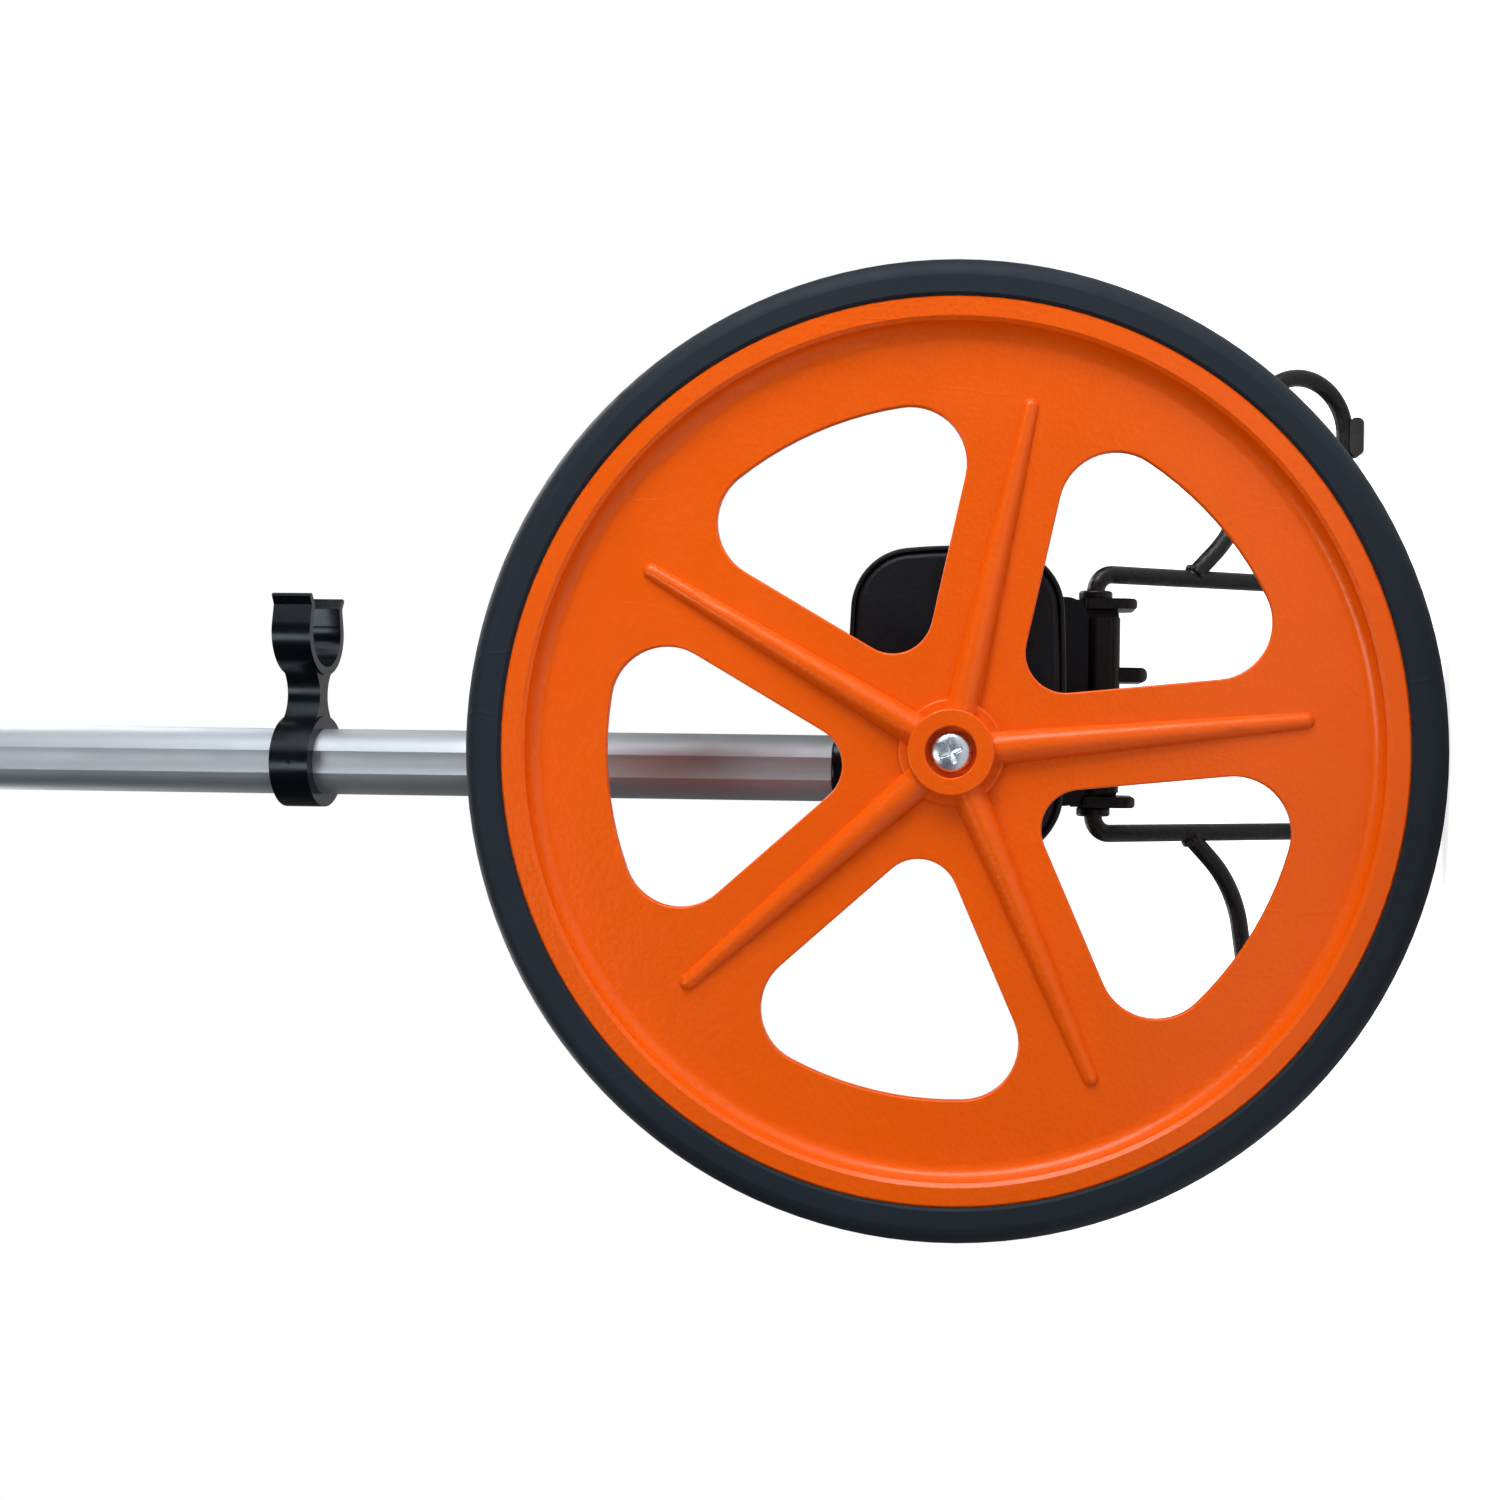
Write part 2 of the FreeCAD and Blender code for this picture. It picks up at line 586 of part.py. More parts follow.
def front_housing():
    """Front shell: outer lip, seat for the cover and a bead at the joint."""
    shell = case_prism(CASE_FRONT, CASE_SPLIT, 0.0)
    rims = edges_on_plane_y(shell, CASE_FRONT, 0.0, 200.0, CASE_X, CASE_Z)
    shell = shell.makeFillet(0.9, rims)
    shell = shell.cut(case_prism(CASE_FRONT - 1.0, COVER_BACK + 0.1, LIP))
    shell = shell.cut(case_prism(COVER_BACK - 1.0, CASE_SPLIT + 1.0, CASE_WALL))
    seat = case_prism(COVER_BACK + 0.1, COVER_BACK + 1.6, LIP - 0.1)
    seat = seat.cut(case_prism(COVER_BACK, COVER_BACK + 3.0, CASE_WALL + 1.2))
    shell = shell.fuse(seat)
    for x, z in case_screws():
        lug = rod_y(x, COVER_BACK + 1.6, CASE_SPLIT, z, 3.6)
        shell = shell.fuse(lug).cut(rod_y(x, CASE_SPLIT - 12.0, CASE_SPLIT, z, 1.45))
    return shell.removeSplitter()


def rear_housing():
    """Rear shell: counter window, tube socket hole and a lower chin."""
    y0 = CASE_SPLIT + SPLIT_GAP
    outside = case_prism(y0, CASE_BACK, 0.0)
    rims = edges_on_plane_y(outside, CASE_BACK, 0.0, 200.0, CASE_X, CASE_Z)
    outside = outside.makeFillet(3.5, rims)
    flange = case_prism(y0, y0 + 2.5, -0.8)
    chin = soft_block(-19.0, 55.0, y0 + 8.0, CASE_BACK, 113.5, 150.0, ALONG_Y, 8.0)
    shell = outside.fuse(flange).fuse(chin)
    inside = case_prism(y0 - 1.0, CASE_BACK - CASE_WALL, CASE_WALL)
    shell = shell.cut(inside)
    shell = shell.cut(block(COUNTER_X - 9.0, COUNTER_X + 9.0, DRUM_FRONT - 1.0,
                            DRUM_FRONT + DRUMS * DRUM_PITCH + 1.0, 185.0, 200.0))
    shell = shell.cut(rod_z(TUBE_X, TUBE_Y, 185.0, 200.0, SOCKET_R + RUNNING_GAP))
    shell = shell.cut(rod_z(COUNTER_X, 80.0, 185.0, 200.0, 5.3))
    ledge = block(COUNTER_X - 6.0, COUNTER_X + 6.0, 76.0, CASE_BACK - 1.0, 173.5, 175.5)
    shell = shell.fuse(ledge)
    for x, z in case_screws():
        post = rod_y(x, y0, CASE_BACK - 1.0, z, 3.6)
        shell = shell.fuse(post)
        shell = shell.cut(rod_y(x, y0, CASE_BACK, z, 1.7))
        shell = shell.cut(rod_y(x, CASE_BACK - 3.0, CASE_BACK, z, 3.0))
    return shell.removeSplitter()


def case_screw(x, z):
    head = rod_y(x, CASE_BACK - 2.9, CASE_BACK - 0.6, z, 2.8)
    cross = block(x - 1.6, x + 1.6, CASE_BACK - 1.6, CASE_BACK, z - 0.3, z + 0.3)
    cross = cross.fuse(block(x - 0.3, x + 0.3, CASE_BACK - 1.6, CASE_BACK, z - 1.6, z + 1.6))
    head = head.cut(cross)
    return head.fuse(rod_y(x, CASE_SPLIT - 10.0, CASE_BACK - 2.9, z, 1.4)).removeSplitter()


def counter_window():
    """Clear lens set in the top of the rear housing."""
    top = CASE_Z + CASE_HALF_Z
    y0 = DRUM_FRONT - 0.9
    y1 = DRUM_FRONT + DRUMS * DRUM_PITCH + 0.9
    pane = soft_block(COUNTER_X - 8.9, COUNTER_X + 8.9, y0, y1, top - 4.2, top - 2.4, ALONG_Z, 0.5)
    return pane


def reset_button():
    top = CASE_Z + CASE_HALF_Z + 3.5
    body = rod_z(COUNTER_X, 80.0, 188.0, top, 5.0)
    body = body.makeFillet(0.8, [e for e in body.Edges if e.BoundBox.ZMin > top - 0.1])
    return body.fuse(rod_z(COUNTER_X, 80.0, 188.0, 190.2, 6.5)).removeSplitter()


def reset_spring():
    """Compression spring under the reset button."""
    wire = 0.5
    helix = Part.makeHelix(2.5, 10.8, 3.6)
    path = Part.Wire(helix.Edges)
    section = Part.Wire([Part.makeCircle(wire, at(3.6, 0, 0), ALONG_Y)])
    coil = path.makePipeShell([section], True, True)
    coil.translate(at(COUNTER_X, 80.0, 175.5 + wire + 0.1))
    return coil


def tube_socket():
    """Sleeve that holds the foot of the tube in the housing."""
    sleeve = rod_z(TUBE_X, TUBE_Y, 169.0, SOCKET_TOP, SOCKET_R)
    collar = rod_z(TUBE_X, TUBE_Y, 169.0, 185.0, SOCKET_R + 2.0)
    body = sleeve.fuse(collar)
    rim = [e for e in body.Edges if e.BoundBox.ZMin > SOCKET_TOP - 0.1]
    body = body.makeFillet(1.0, rim)
    body = body.cut(rod_z(TUBE_X, TUBE_Y, TUBE_FOOT - 0.2, SOCKET_TOP, TUBE_R + 0.02))
    return body.cut(rod_y(TUBE_X, TUBE_Y + 5.0, TUBE_Y + 30.0, 181.0, 1.55)).removeSplitter()


def socket_screw():
    y = TUBE_Y + SOCKET_R + 2.05
    head = rod_y(TUBE_X, y, y + 2.2, 181.0, 3.0)
    return head.fuse(rod_y(TUBE_X, TUBE_Y + 9.5, y, 181.0, 1.5)).removeSplitter()


# ---------------------------------------------------------------- handle

def fluted_tube(z0, z1):
    """Round tube with a shallow hollow flute along its front and back."""
    tube = sleeve_z(TUBE_X, TUBE_Y, z0, z1, TUBE_R, TUBE_R - TUBE_WALL)
    half = FLUTE_WIDTH / 2.0
    chord = math.sqrt(TUBE_R ** 2 - half ** 2)
    away = math.sqrt(FLUTE_R ** 2 - half ** 2)
    for side in (-1, 1):
        cutter = rod_z(TUBE_X, TUBE_Y + side * (chord + away), z0, z1, FLUTE_R)
        tube = tube.cut(cutter)
    return tube


def lower_tube():
    tube = fluted_tube(TUBE_FOOT, HINGE_Z - TUBE_SEAT)
    return tube.cut(rod_y(TUBE_X, TUBE_Y, TUBE_Y + 30.0, 181.0, 1.55))


def upper_tube():
    return fluted_tube(HINGE_Z + TUBE_SEAT, OVERALL_HEIGHT - 5.0)


def knuckle_solid():
    """Lower half of the fold hinge before its ears are parted."""
    barrel = rod_z(TUBE_X, TUBE_Y, HINGE_Z - KNUCKLE_LENGTH, HINGE_Z - 0.2, SOCKET_R)
    rim = [e for e in barrel.Edges if e.BoundBox.ZMax < HINGE_Z - KNUCKLE_LENGTH + 0.1]
    barrel = barrel.makeFillet(1.2, rim)
    web = block(TUBE_X, HINGE_X, TUBE_Y - 11.0, TUBE_Y + 11.0, HINGE_Z - 16.0, HINGE_Z - 0.2)
    slope = block(TUBE_X, HINGE_X + 20.0, TUBE_Y - 12.0, TUBE_Y + 12.0, HINGE_Z - 40.0, HINGE_Z - 16.0)
    slope.rotate(at(HINGE_X - 4.0, 0, HINGE_Z - 16.0), ALONG_Y, -30.0)
    return barrel.fuse(web.cut(slope))


def ear_spans(outer):
    if outer:
        return [(TUBE_Y - 11.0, TUBE_Y - 5.2), (TUBE_Y + 5.2, TUBE_Y + 11.0)]
    return [(TUBE_Y - 5.0, TUBE_Y + 5.0)]


def knuckle(outer):
    """One half of the fold hinge, with either the outer or the middle ears."""
    body = knuckle_solid()
    for y0, y1 in ear_spans(not outer):
        body = body.cut(rod_y(HINGE_X, y0 - 0.25, y1 + 0.25, HINGE_Z, HINGE_EAR_R + 0.4))
    for y0, y1 in ear_spans(outer):
        body = body.fuse(rod_y(HINGE_X, y0, y1, HINGE_Z, HINGE_EAR_R))
    pin = HINGE_PIN_R + (0.0 if outer else RUNNING_GAP)
    body = body.cut(rod_y(HINGE_X, TUBE_Y - 20.0, TUBE_Y + 20.0, HINGE_Z, pin))
    seat = rod_z(TUBE_X, TUBE_Y, HINGE_Z - KNUCKLE_LENGTH, HINGE_Z - TUBE_SEAT + 0.1, TUBE_R + 0.02)
    return body.cut(seat)


def lower_knuckle():
    body = knuckle(True)
    hole = rod_y(TUBE_X, TUBE_Y - 20.0, TUBE_Y - 6.0, BUTTON_Z, BUTTON_R + RUNNING_GAP + 0.1)
    return body.cut(hole).removeSplitter()


def upper_knuckle():
    body = knuckle(False)
    body.rotate(at(0, 0, HINGE_Z), ALONG_X, 180.0)
    body.translate(at(0, 2.0 * TUBE_Y, 0))
    return body.removeSplitter()


def hinge_pin():
    half = 12.0
    pin = rod_y(HINGE_X, TUBE_Y - half, TUBE_Y + half, HINGE_Z, HINGE_PIN_R)
    head = rod_y(HINGE_X, TUBE_Y - half - 1.2, TUBE_Y - 11.0, HINGE_Z, 4.8)
    cap = rod_y(HINGE_X, TUBE_Y + 11.0, TUBE_Y + half + 1.2, HINGE_Z, 4.8)
    return joined([pin, head, cap])


def release_button():
    body = rod_y(TUBE_X, TUBE_Y - 17.5, TUBE_Y - 8.6, BUTTON_Z, BUTTON_R)
    rim = [e for e in body.Edges if e.BoundBox.YMax < TUBE_Y - 17.4]
    return body.makeFillet(1.0, rim)


def grip():
    """Soft sleeve on the top of the handle."""
    z1 = OVERALL_HEIGHT - 5.0
    z0 = z1 - GRIP_LENGTH
    body = rod_z(TUBE_X, TUBE_Y, z0, z1, GRIP_R)
    body = body.makeFillet(2.5, [e for e in body.Edges if isinstance(e.Curve, Part.Circle)])
    return body.cut(rod_z(TUBE_X, TUBE_Y, z0, z1, TUBE_R + 0.02))


def grip_cap():
    """Plug that closes the top of the tube."""
    z1 = OVERALL_HEIGHT
    disc = rod_z(TUBE_X, TUBE_Y, z1 - 4.9, z1, GRIP_R - 1.5)
    disc = disc.makeFillet(2.4, [e for e in disc.Edges if e.BoundBox.ZMin > z1 - 0.1])
    plug = rod_z(TUBE_X, TUBE_Y, z1 - 20.0, z1 - 4.9, TUBE_R - TUBE_WALL - 1.3)
    return disc.fuse(plug).removeSplitter()


def clip_arm(side, z0):
    """Straight side of the spring clip with its lip turned outward."""
    outline = [(3.0, 11.9), (10.0, 10.9), (13.8, 13.6), (13.2, 15.6), (9.6, 13.6), (3.0, 14.95)]
    corners = [at(CLIP_X + x, TUBE_Y + side * y, z0) for x, y in outline]
    arm = Part.Face(Part.makePolygon(corners + [corners[0]])).extrude(at(0, 0, CLIP_WIDTH))
    return arm.makeFillet(0.6, edges_along(arm, ALONG_Z)[:4])


def storage_clip():
    """Ring on the lower tube with an open spring clip on a hollowed neck."""
    z0 = CLIP_Z - CLIP_WIDTH / 2.0
    z1 = CLIP_Z + CLIP_WIDTH / 2.0
    ring = rod_z(TUBE_X, TUBE_Y, z0, z1, CLIP_RING_R)
    cup = rod_z(CLIP_X, TUBE_Y, z0, z1, CLIP_INNER + CLIP_WALL)
    cup = cup.cut(block(CLIP_X + 3.5, CLIP_X + 40.0, TUBE_Y - 40.0, TUBE_Y + 40.0, z0 - 1.0, z1 + 1.0))
    clear_ring = (CLIP_RING_R - NECK_HALF) * (CLIP_RING_R + NECK_HALF + 2.0 * NECK_HOLLOW_R)
    neck_x = TUBE_X + math.sqrt(clear_ring)
    neck = block(TUBE_X + 13.5, CLIP_X - CLIP_INNER, TUBE_Y - NECK_WIDE, TUBE_Y + NECK_WIDE,
                 z0 + 1.0, z1 - 1.0)
    for side in (-1, 1):
        away = TUBE_Y + side * (NECK_HALF + NECK_HOLLOW_R)
        neck = neck.cut(rod_z(neck_x, away, z0, z1, NECK_HOLLOW_R))
    body = joined([ring, neck, cup, clip_arm(1, z0), clip_arm(-1, z0)])
    body = body.cut(rod_z(CLIP_X, TUBE_Y, z0 - 1.0, z1 + 1.0, CLIP_INNER))
    gate = Part.makeSphere(1.0, at(TUBE_X, TUBE_Y - CLIP_RING_R - 0.55, CLIP_Z))
    body = body.cut(gate)
    return body.cut(rod_z(TUBE_X, TUBE_Y, z0 - 1.0, z1 + 1.0, TUBE_R + 0.02)).removeSplitter()


# ----------------------------------------------------------------- stand

def stand_bracket():
    """Bracket screwed under the housing, with four lugs for the stand."""
    back = block(-19.6, 56.2, CASE_BACK + 0.1, CASE_BACK + 3.2, 100.5, 146.0)
    back = back.makeFillet(5.0, edges_along(back, ALONG_Y))
    foot = block(-15.0, 50.0, 77.0, CASE_BACK + 2.0, 100.5, 113.2)
    foot = foot.makeFillet(4.0, edges_along(foot, ALONG_X))
    body = back.fuse(foot)
    for x0, x1, low, soft in LUGS:
        lug = soft_block(x0, x1, 82.0, PIVOT_Y + 7.5, low, 118.0, ALONG_X, 6.0)
        lug = lug.common(soft_block(x0, x1, 80.0, PIVOT_Y + 9.0, low, 122.0, ALONG_Y, soft))
        lug = lug.cut(block(x0 - 1, x1 + 1, 70.0, CASE_BACK + 0.05, 113.2, 130.0))
        body = body.fuse(lug)
    body = body.cut(rod_x(-60.0, 90.0, PIVOT_Y, PIVOT_Z, WIRE_R + RUNNING_GAP))
    for x, z in bracket_screws():
        body = body.cut(rod_y(x, CASE_BACK - 1.0, CASE_BACK + 8.0, z, 2.2))
    return body.removeSplitter()


def bracket_screws():
    return [(-4.0, 136.0), (40.0, 136.0)]


def bracket_screw(x, z):
    y0 = CASE_BACK + 3.2
    head = rod_y(x, y0, y0 + 2.4, z, 3.6)
    head = head.makeFillet(0.8, [e for e in head.Edges if e.BoundBox.YMin > y0 + 2.3])
    cross = block(x - 2.0, x + 2.0, y0 + 1.2, y0 + 4.0, z - 0.4, z + 0.4)
    cross = cross.fuse(block(x - 0.4, x + 0.4, y0 + 1.2, y0 + 4.0, z - 2.0, z + 2.0))
    return head.cut(cross).fuse(rod_y(x, CASE_BACK + 0.2, y0, z, 2.0)).removeSplitter()


def plane_point(across, along):
    """Point in the leaning plane of the stand, from its middle line and pivot."""
    lean = math.radians(LEAN)
    return at(STAND_X + across, PIVOT_Y + along * math.sin(lean), PIVOT_Z - along * math.cos(lean))


def bent_wire(corners, radii):
    """Round wire swept along a polyline whose corners are bent to given radii.

    Corners are (across, along) pairs in the plane of the stand."""
    path = []
    here = corners[0]
    for n in range(1, len(corners) - 1):
        turn = corners[n]
        ahead = corners[n + 1]
        r = radii[n - 1]
        before = math.atan2(turn[1] - corners[n - 1][1], turn[0] - corners[n - 1][0])
        after = math.atan2(ahead[1] - turn[1], ahead[0] - turn[0])
        swing = math.atan2(math.sin(after - before), math.cos(after - before))
        cut_back = r * math.tan(abs(swing) / 2.0)
        start = (turn[0] - cut_back * math.cos(before), turn[1] - cut_back * math.sin(before))
        end = (turn[0] + cut_back * math.cos(after), turn[1] + cut_back * math.sin(after))
        sag = r / math.cos(swing / 2.0) - r
        inward = before + swing / 2.0 + math.copysign(math.pi / 2.0, swing)
        middle = (turn[0] + sag * math.cos(inward), turn[1] + sag * math.sin(inward))
        if math.dist(here, start) > 1e-3:
            path.append(Part.LineSegment(plane_point(*here), plane_point(*start)).toShape())
        path.append(Part.Arc(plane_point(*start), plane_point(*middle), plane_point(*end)).toShape())
        here = end
    path.append(Part.LineSegment(plane_point(*here), plane_point(*corners[-1])).toShape())
    wire = Part.Wire(path)
    first = plane_point(*corners[0])
    heading = plane_point(*corners[1]).sub(first)
    section = Part.Wire([Part.makeCircle(WIRE_R, first, heading)])
    return wire.makePipeShell([section], True, True)


def stand_frame():
    """Main U of the stand with its two ends turned in to the pivots."""
    inner = ARM_HALF - 13.5
    return bent_wire(
        [(inner, 0.0), (ARM_HALF, 0.0), (ARM_HALF, STAND_TIE), (-ARM_HALF, STAND_TIE),
         (-ARM_HALF, 0.0), (-inner, 0.0)],
        [ARM_BEND, TIE_BEND, TIE_BEND, ARM_BEND])


def hook_leg(side):
    """Leg welded to one arm, running outward and ending in a rounded hook."""
    root = (ARM_HALF + 0.6, 41.8)
    reach = math.dist(KNEE, (HOOK_OUT, HOOK_DOWN))
    heading = math.atan2(HOOK_DOWN - KNEE[1], HOOK_OUT - KNEE[0]) - math.asin(HOOK_R / reach)
    far = HOOK_OUT + HOOK_R
    top = (far, KNEE[1] + (far - KNEE[0]) * math.tan(heading))
    low = HOOK_DOWN + HOOK_R
    corners = [root, KNEE, top, (far, low), (HOOK_OUT - 10.0, low)]
    upper_turn = math.pi / 2.0 - heading
    upper_r = (HOOK_DOWN - top[1]) / math.tan(upper_turn / 2.0)
    radii = [KNEE_BEND, upper_r - 0.01, HOOK_R - 0.01]
    leg = bent_wire([(side * a, b) for a, b in corners], radii)
    return leg.cut(stand_frame())


def foot_pad(side):
    """Rubber foot that cradles the hook from below, flat on the ground."""
    x = STAND_X + side * (HOOK_OUT - 1.0)
    half = PAD_LENGTH / 2.0
    pad = block(x - half, x + half, PAD_FRONT, PAD_BACK, 0.0, PAD_HEIGHT)
    pad = pad.makeFillet(2.4, edges_along(pad, ALONG_Y))
    return pad.cut(hook_leg(side))


def pivot_collar(side):
    """Plain collar between the arm bend and the outer lug."""
    x0 = LUGS[0][1] + 0.2 if side > 0 else LUGS[-1][0] - 0.2 - COLLAR_LENGTH
    collar = rod_x(x0, x0 + COLLAR_LENGTH, PIVOT_Y, PIVOT_Z, 6.4)
    collar = collar.makeFillet(1.0, [e for e in collar.Edges if isinstance(e.Curve, Part.Circle)])
    return collar.cut(rod_x(x0 - 1.0, x0 + COLLAR_LENGTH + 1.0, PIVOT_Y, PIVOT_Z, WIRE_R + 0.02))


NODES = {
    "tyre": tyre,
    "wheel_disc": wheel_disc,
    "wheel_shaft": wheel_shaft,
    "hub_washer": hub_washer,
    "hub_screw": hub_screw,
    "snap_ring": snap_ring,
    "drive_gear": lambda: gear(0.0, AXLE_Z, TRAIN_ANGLE, SHAFT_R + 0.01),
    "idler_gear": lambda: gear(COUNTER_X / 2.0, 0.5 * (AXLE_Z + COUNTER_Z),
                               TRAIN_ANGLE + 180.0 / TEETH, 2.5 + RUNNING_GAP),
    "counter_gear": lambda: gear(COUNTER_X, COUNTER_Z, TRAIN_ANGLE, COUNTER_SHAFT_R + 0.01),
    "idler_stud": idler_stud,
    "gear_plate": gear_plate,
    "front_bush": lambda: shaft_bush(COVER_CROWN + 0.4, COVER_BACK + 0.8, COVER_BACK + 0.8),
    "rear_bush": lambda: shaft_bush(PLATE_FRONT, PLATE_FRONT + PLATE_THICK + 0.4, PLATE_FRONT - 1.0),
    "counter_shaft": counter_shaft,
    "counter_frame": counter_frame,
    "carry_shaft": carry_shaft,
    "front_cover": front_cover,
    "front_housing": front_housing,
    "rear_housing": rear_housing,
    "counter_window": counter_window,
    "reset_button": reset_button,
    "reset_spring": reset_spring,
    "tube_socket": tube_socket,
    "socket_screw": socket_screw,
    "lower_tube": lower_tube,
    "lower_knuckle": lower_knuckle,
    "upper_knuckle": upper_knuckle,
    "hinge_pin": hinge_pin,
    "release_button": release_button,
    "upper_tube": upper_tube,
    "handle_grip": grip,
    "grip_cap": grip_cap,
    "storage_clip": storage_clip,
    "stand_bracket": stand_bracket,
    "stand_frame": stand_frame,
    "stand_leg_right": lambda: hook_leg(1),
    "stand_leg_left": lambda: hook_leg(-1),
    "foot_pad_right": lambda: foot_pad(1),
    "foot_pad_left": lambda: foot_pad(-1),
    "pivot_collar_right": lambda: pivot_collar(1),
    "pivot_collar_left": lambda: pivot_collar(-1),
}

for node, make in NODES.items():
    save(node, make())
for drum in range(DRUMS):
    save("digit_drum_%d" % (drum + 1), digit_drum(drum))
for pair in range(DRUMS - 1):
    save("carry_pinion_%d" % (pair + 1), carry_pinion(pair))
for number, place in enumerate(plate_posts()):
    save("plate_screw_%d" % (number + 1), plate_screw(*place))
for number, place in enumerate(case_screws()):
    save("case_screw_%d" % (number + 1), case_screw(*place))
for number, place in enumerate(bracket_screws()):
    save("bracket_screw_%d" % (number + 1), bracket_screw(*place))
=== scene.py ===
import json
import math

import bmesh
import bpy
from mathutils import Matrix, Vector


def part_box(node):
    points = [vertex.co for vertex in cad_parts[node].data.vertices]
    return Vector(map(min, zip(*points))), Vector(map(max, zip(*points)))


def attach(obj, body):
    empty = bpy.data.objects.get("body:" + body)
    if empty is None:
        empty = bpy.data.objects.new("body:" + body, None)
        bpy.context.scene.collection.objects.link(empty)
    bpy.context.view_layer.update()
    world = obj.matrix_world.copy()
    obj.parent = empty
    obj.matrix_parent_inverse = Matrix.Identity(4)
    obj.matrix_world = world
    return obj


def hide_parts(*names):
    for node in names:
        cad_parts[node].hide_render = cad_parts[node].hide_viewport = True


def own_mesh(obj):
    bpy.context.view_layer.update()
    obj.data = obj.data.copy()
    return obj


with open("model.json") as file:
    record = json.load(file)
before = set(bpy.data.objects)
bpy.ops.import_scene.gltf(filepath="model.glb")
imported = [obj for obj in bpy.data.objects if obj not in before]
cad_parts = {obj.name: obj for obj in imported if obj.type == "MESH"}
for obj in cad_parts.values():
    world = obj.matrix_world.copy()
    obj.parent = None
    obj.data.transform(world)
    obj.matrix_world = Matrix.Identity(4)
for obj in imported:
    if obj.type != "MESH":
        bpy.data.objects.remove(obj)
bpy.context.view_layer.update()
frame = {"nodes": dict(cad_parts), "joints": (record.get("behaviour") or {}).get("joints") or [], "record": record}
NODES = frame["nodes"]
RECORD = frame["record"]
MM = 0.001

# Grip sleeve
SLEEVE_WALL = 4.4 * MM
SLEEVE_GAP = 0.05 * MM
SWELLS = 4.0
SWELL_HEIGHT = 0.45 * MM
RING_PITCH = 3.2 * MM
RING_HEIGHT = 0.22 * MM
RIBBED_DEPTH = 0.7 * MM
PLAIN_END = 7.0 * MM
PLAIN_FADE = 2.0 * MM
END_ROUND = 2.5 * MM
END_DROP = 2.4 * MM
SLEEVE_STEPS = 300

# Numerals on the counter drums
DRUMS = 5
NUMERAL_HEIGHT = 7.4 * MM
NUMERAL_THICK = 0.05 * MM
NUMERAL_SEAT = 0.02 * MM
NUMERAL_RAISED = 0.06 * MM
NUMERAL_SUNK = 0.03 * MM

# Hub screw: lengths in mm, CROSS_TURN in degrees
DOME_EDGE = 0.6
DOME_RISE = 2.0
DOME_POWER = 2.6
HEAD_CHAMFER = 0.05
HEAD_EDGE = 0.5
SHANK_R = 1.95
HEAD_RINGS = 44
HEAD_SEGMENTS = 120
CROSS_TURN = 20.0
CROSS_HALF = 0.55
CROSS_FLARE = 0.40
CROSS_FLARE_R = 3.4
CROSS_BLEND = 4.0
CROSS_WALL = 0.30
CROSS_R = 3.9
CROSS_END = 0.4
CROSS_DEPTH = 0.9
CROSS_CENTRE = 1.5
CROSS_CENTRE_R = 3.8

# Window bezel, in mm: out from the window's edge, and up from the housing's top
BEZEL_SECTION = ((-0.3, -1.6), (-0.3, 0.1), (0.1, 0.5), (1.3, 0.5), (1.9, 0.1), (2.1, -0.5), (2.1, -1.6))
BEZEL_CORNER = 1.0

# Reset spring
SPRING_WIRE_R = 0.5 * MM
SPRING_TURNS = 4.3
SPRING_STEPS = 130

# Weld between the stand frame and a leg, facing partly across and partly down; its bead is in mm
STAND_WIRE_R = 3.4 * MM
STAND_LEAN = math.radians(25.0)
WELD_DOWN = 43.4 * MM
WELD_INSET = 1.2 * MM
WELD_FACING = (0.72, 0.69)
BEAD_SINK = 0.2
BEAD_HEIGHT = 0.75
BEAD_WIDTH = 1.1

# Camera: angles in degrees, places in metres, shift in widths of the sensor
CAMERA_YAW = 2.4925
CAMERA_PITCH = -0.4044
CAMERA_ROLL = 0.7334
CAMERA_AWAY = 0.55427
CAMERA_SIDE = -0.02343
CAMERA_DROP = 0.00460
CAMERA_LENS_MM = 40.8
CAMERA_SHIFT = -0.13333


# ------------------------------------------------------------ materials

def new_material(name):
    material = bpy.data.materials.new(name)
    material.use_nodes = True
    tree = material.node_tree
    shader = tree.nodes["Principled BSDF"]
    return material, tree, shader


def noise(tree, scale, detail=3.0, rough=0.55, stretch=None):
    """Noise in the object's own coordinates; stretch squeezes it along axes."""
    coords = tree.nodes.new("ShaderNodeTexCoord")
    texture = tree.nodes.new("ShaderNodeTexNoise")
    texture.inputs["Scale"].default_value = scale
    texture.inputs["Detail"].default_value = detail
    texture.inputs["Roughness"].default_value = rough
    if stretch:
        mapping = tree.nodes.new("ShaderNodeMapping")
        mapping.inputs["Scale"].default_value = stretch
        tree.links.new(coords.outputs["Object"], mapping.inputs["Vector"])
        tree.links.new(mapping.outputs["Vector"], texture.inputs["Vector"])
    else:
        tree.links.new(coords.outputs["Object"], texture.inputs["Vector"])
    return texture.outputs["Fac"]


def ramp(tree, value, stops):
    node = tree.nodes.new("ShaderNodeValToRGB")
    elements = node.color_ramp.elements
    while len(elements) < len(stops):
        elements.new(0.5)
    for element, (place, colour) in zip(elements, stops):
        element.position = place
        element.color = (*colour, 1.0)
    tree.links.new(value, node.inputs["Fac"])
    return node.outputs["Color"]


def spread(tree, value, low, high, start=0.3, end=0.7):
    node = tree.nodes.new("ShaderNodeMapRange")
    node.inputs["From Min"].default_value = start
    node.inputs["From Max"].default_value = end
    node.inputs["To Min"].default_value = low
    node.inputs["To Max"].default_value = high
    tree.links.new(value, node.inputs["Value"])
    return node.outputs["Result"]


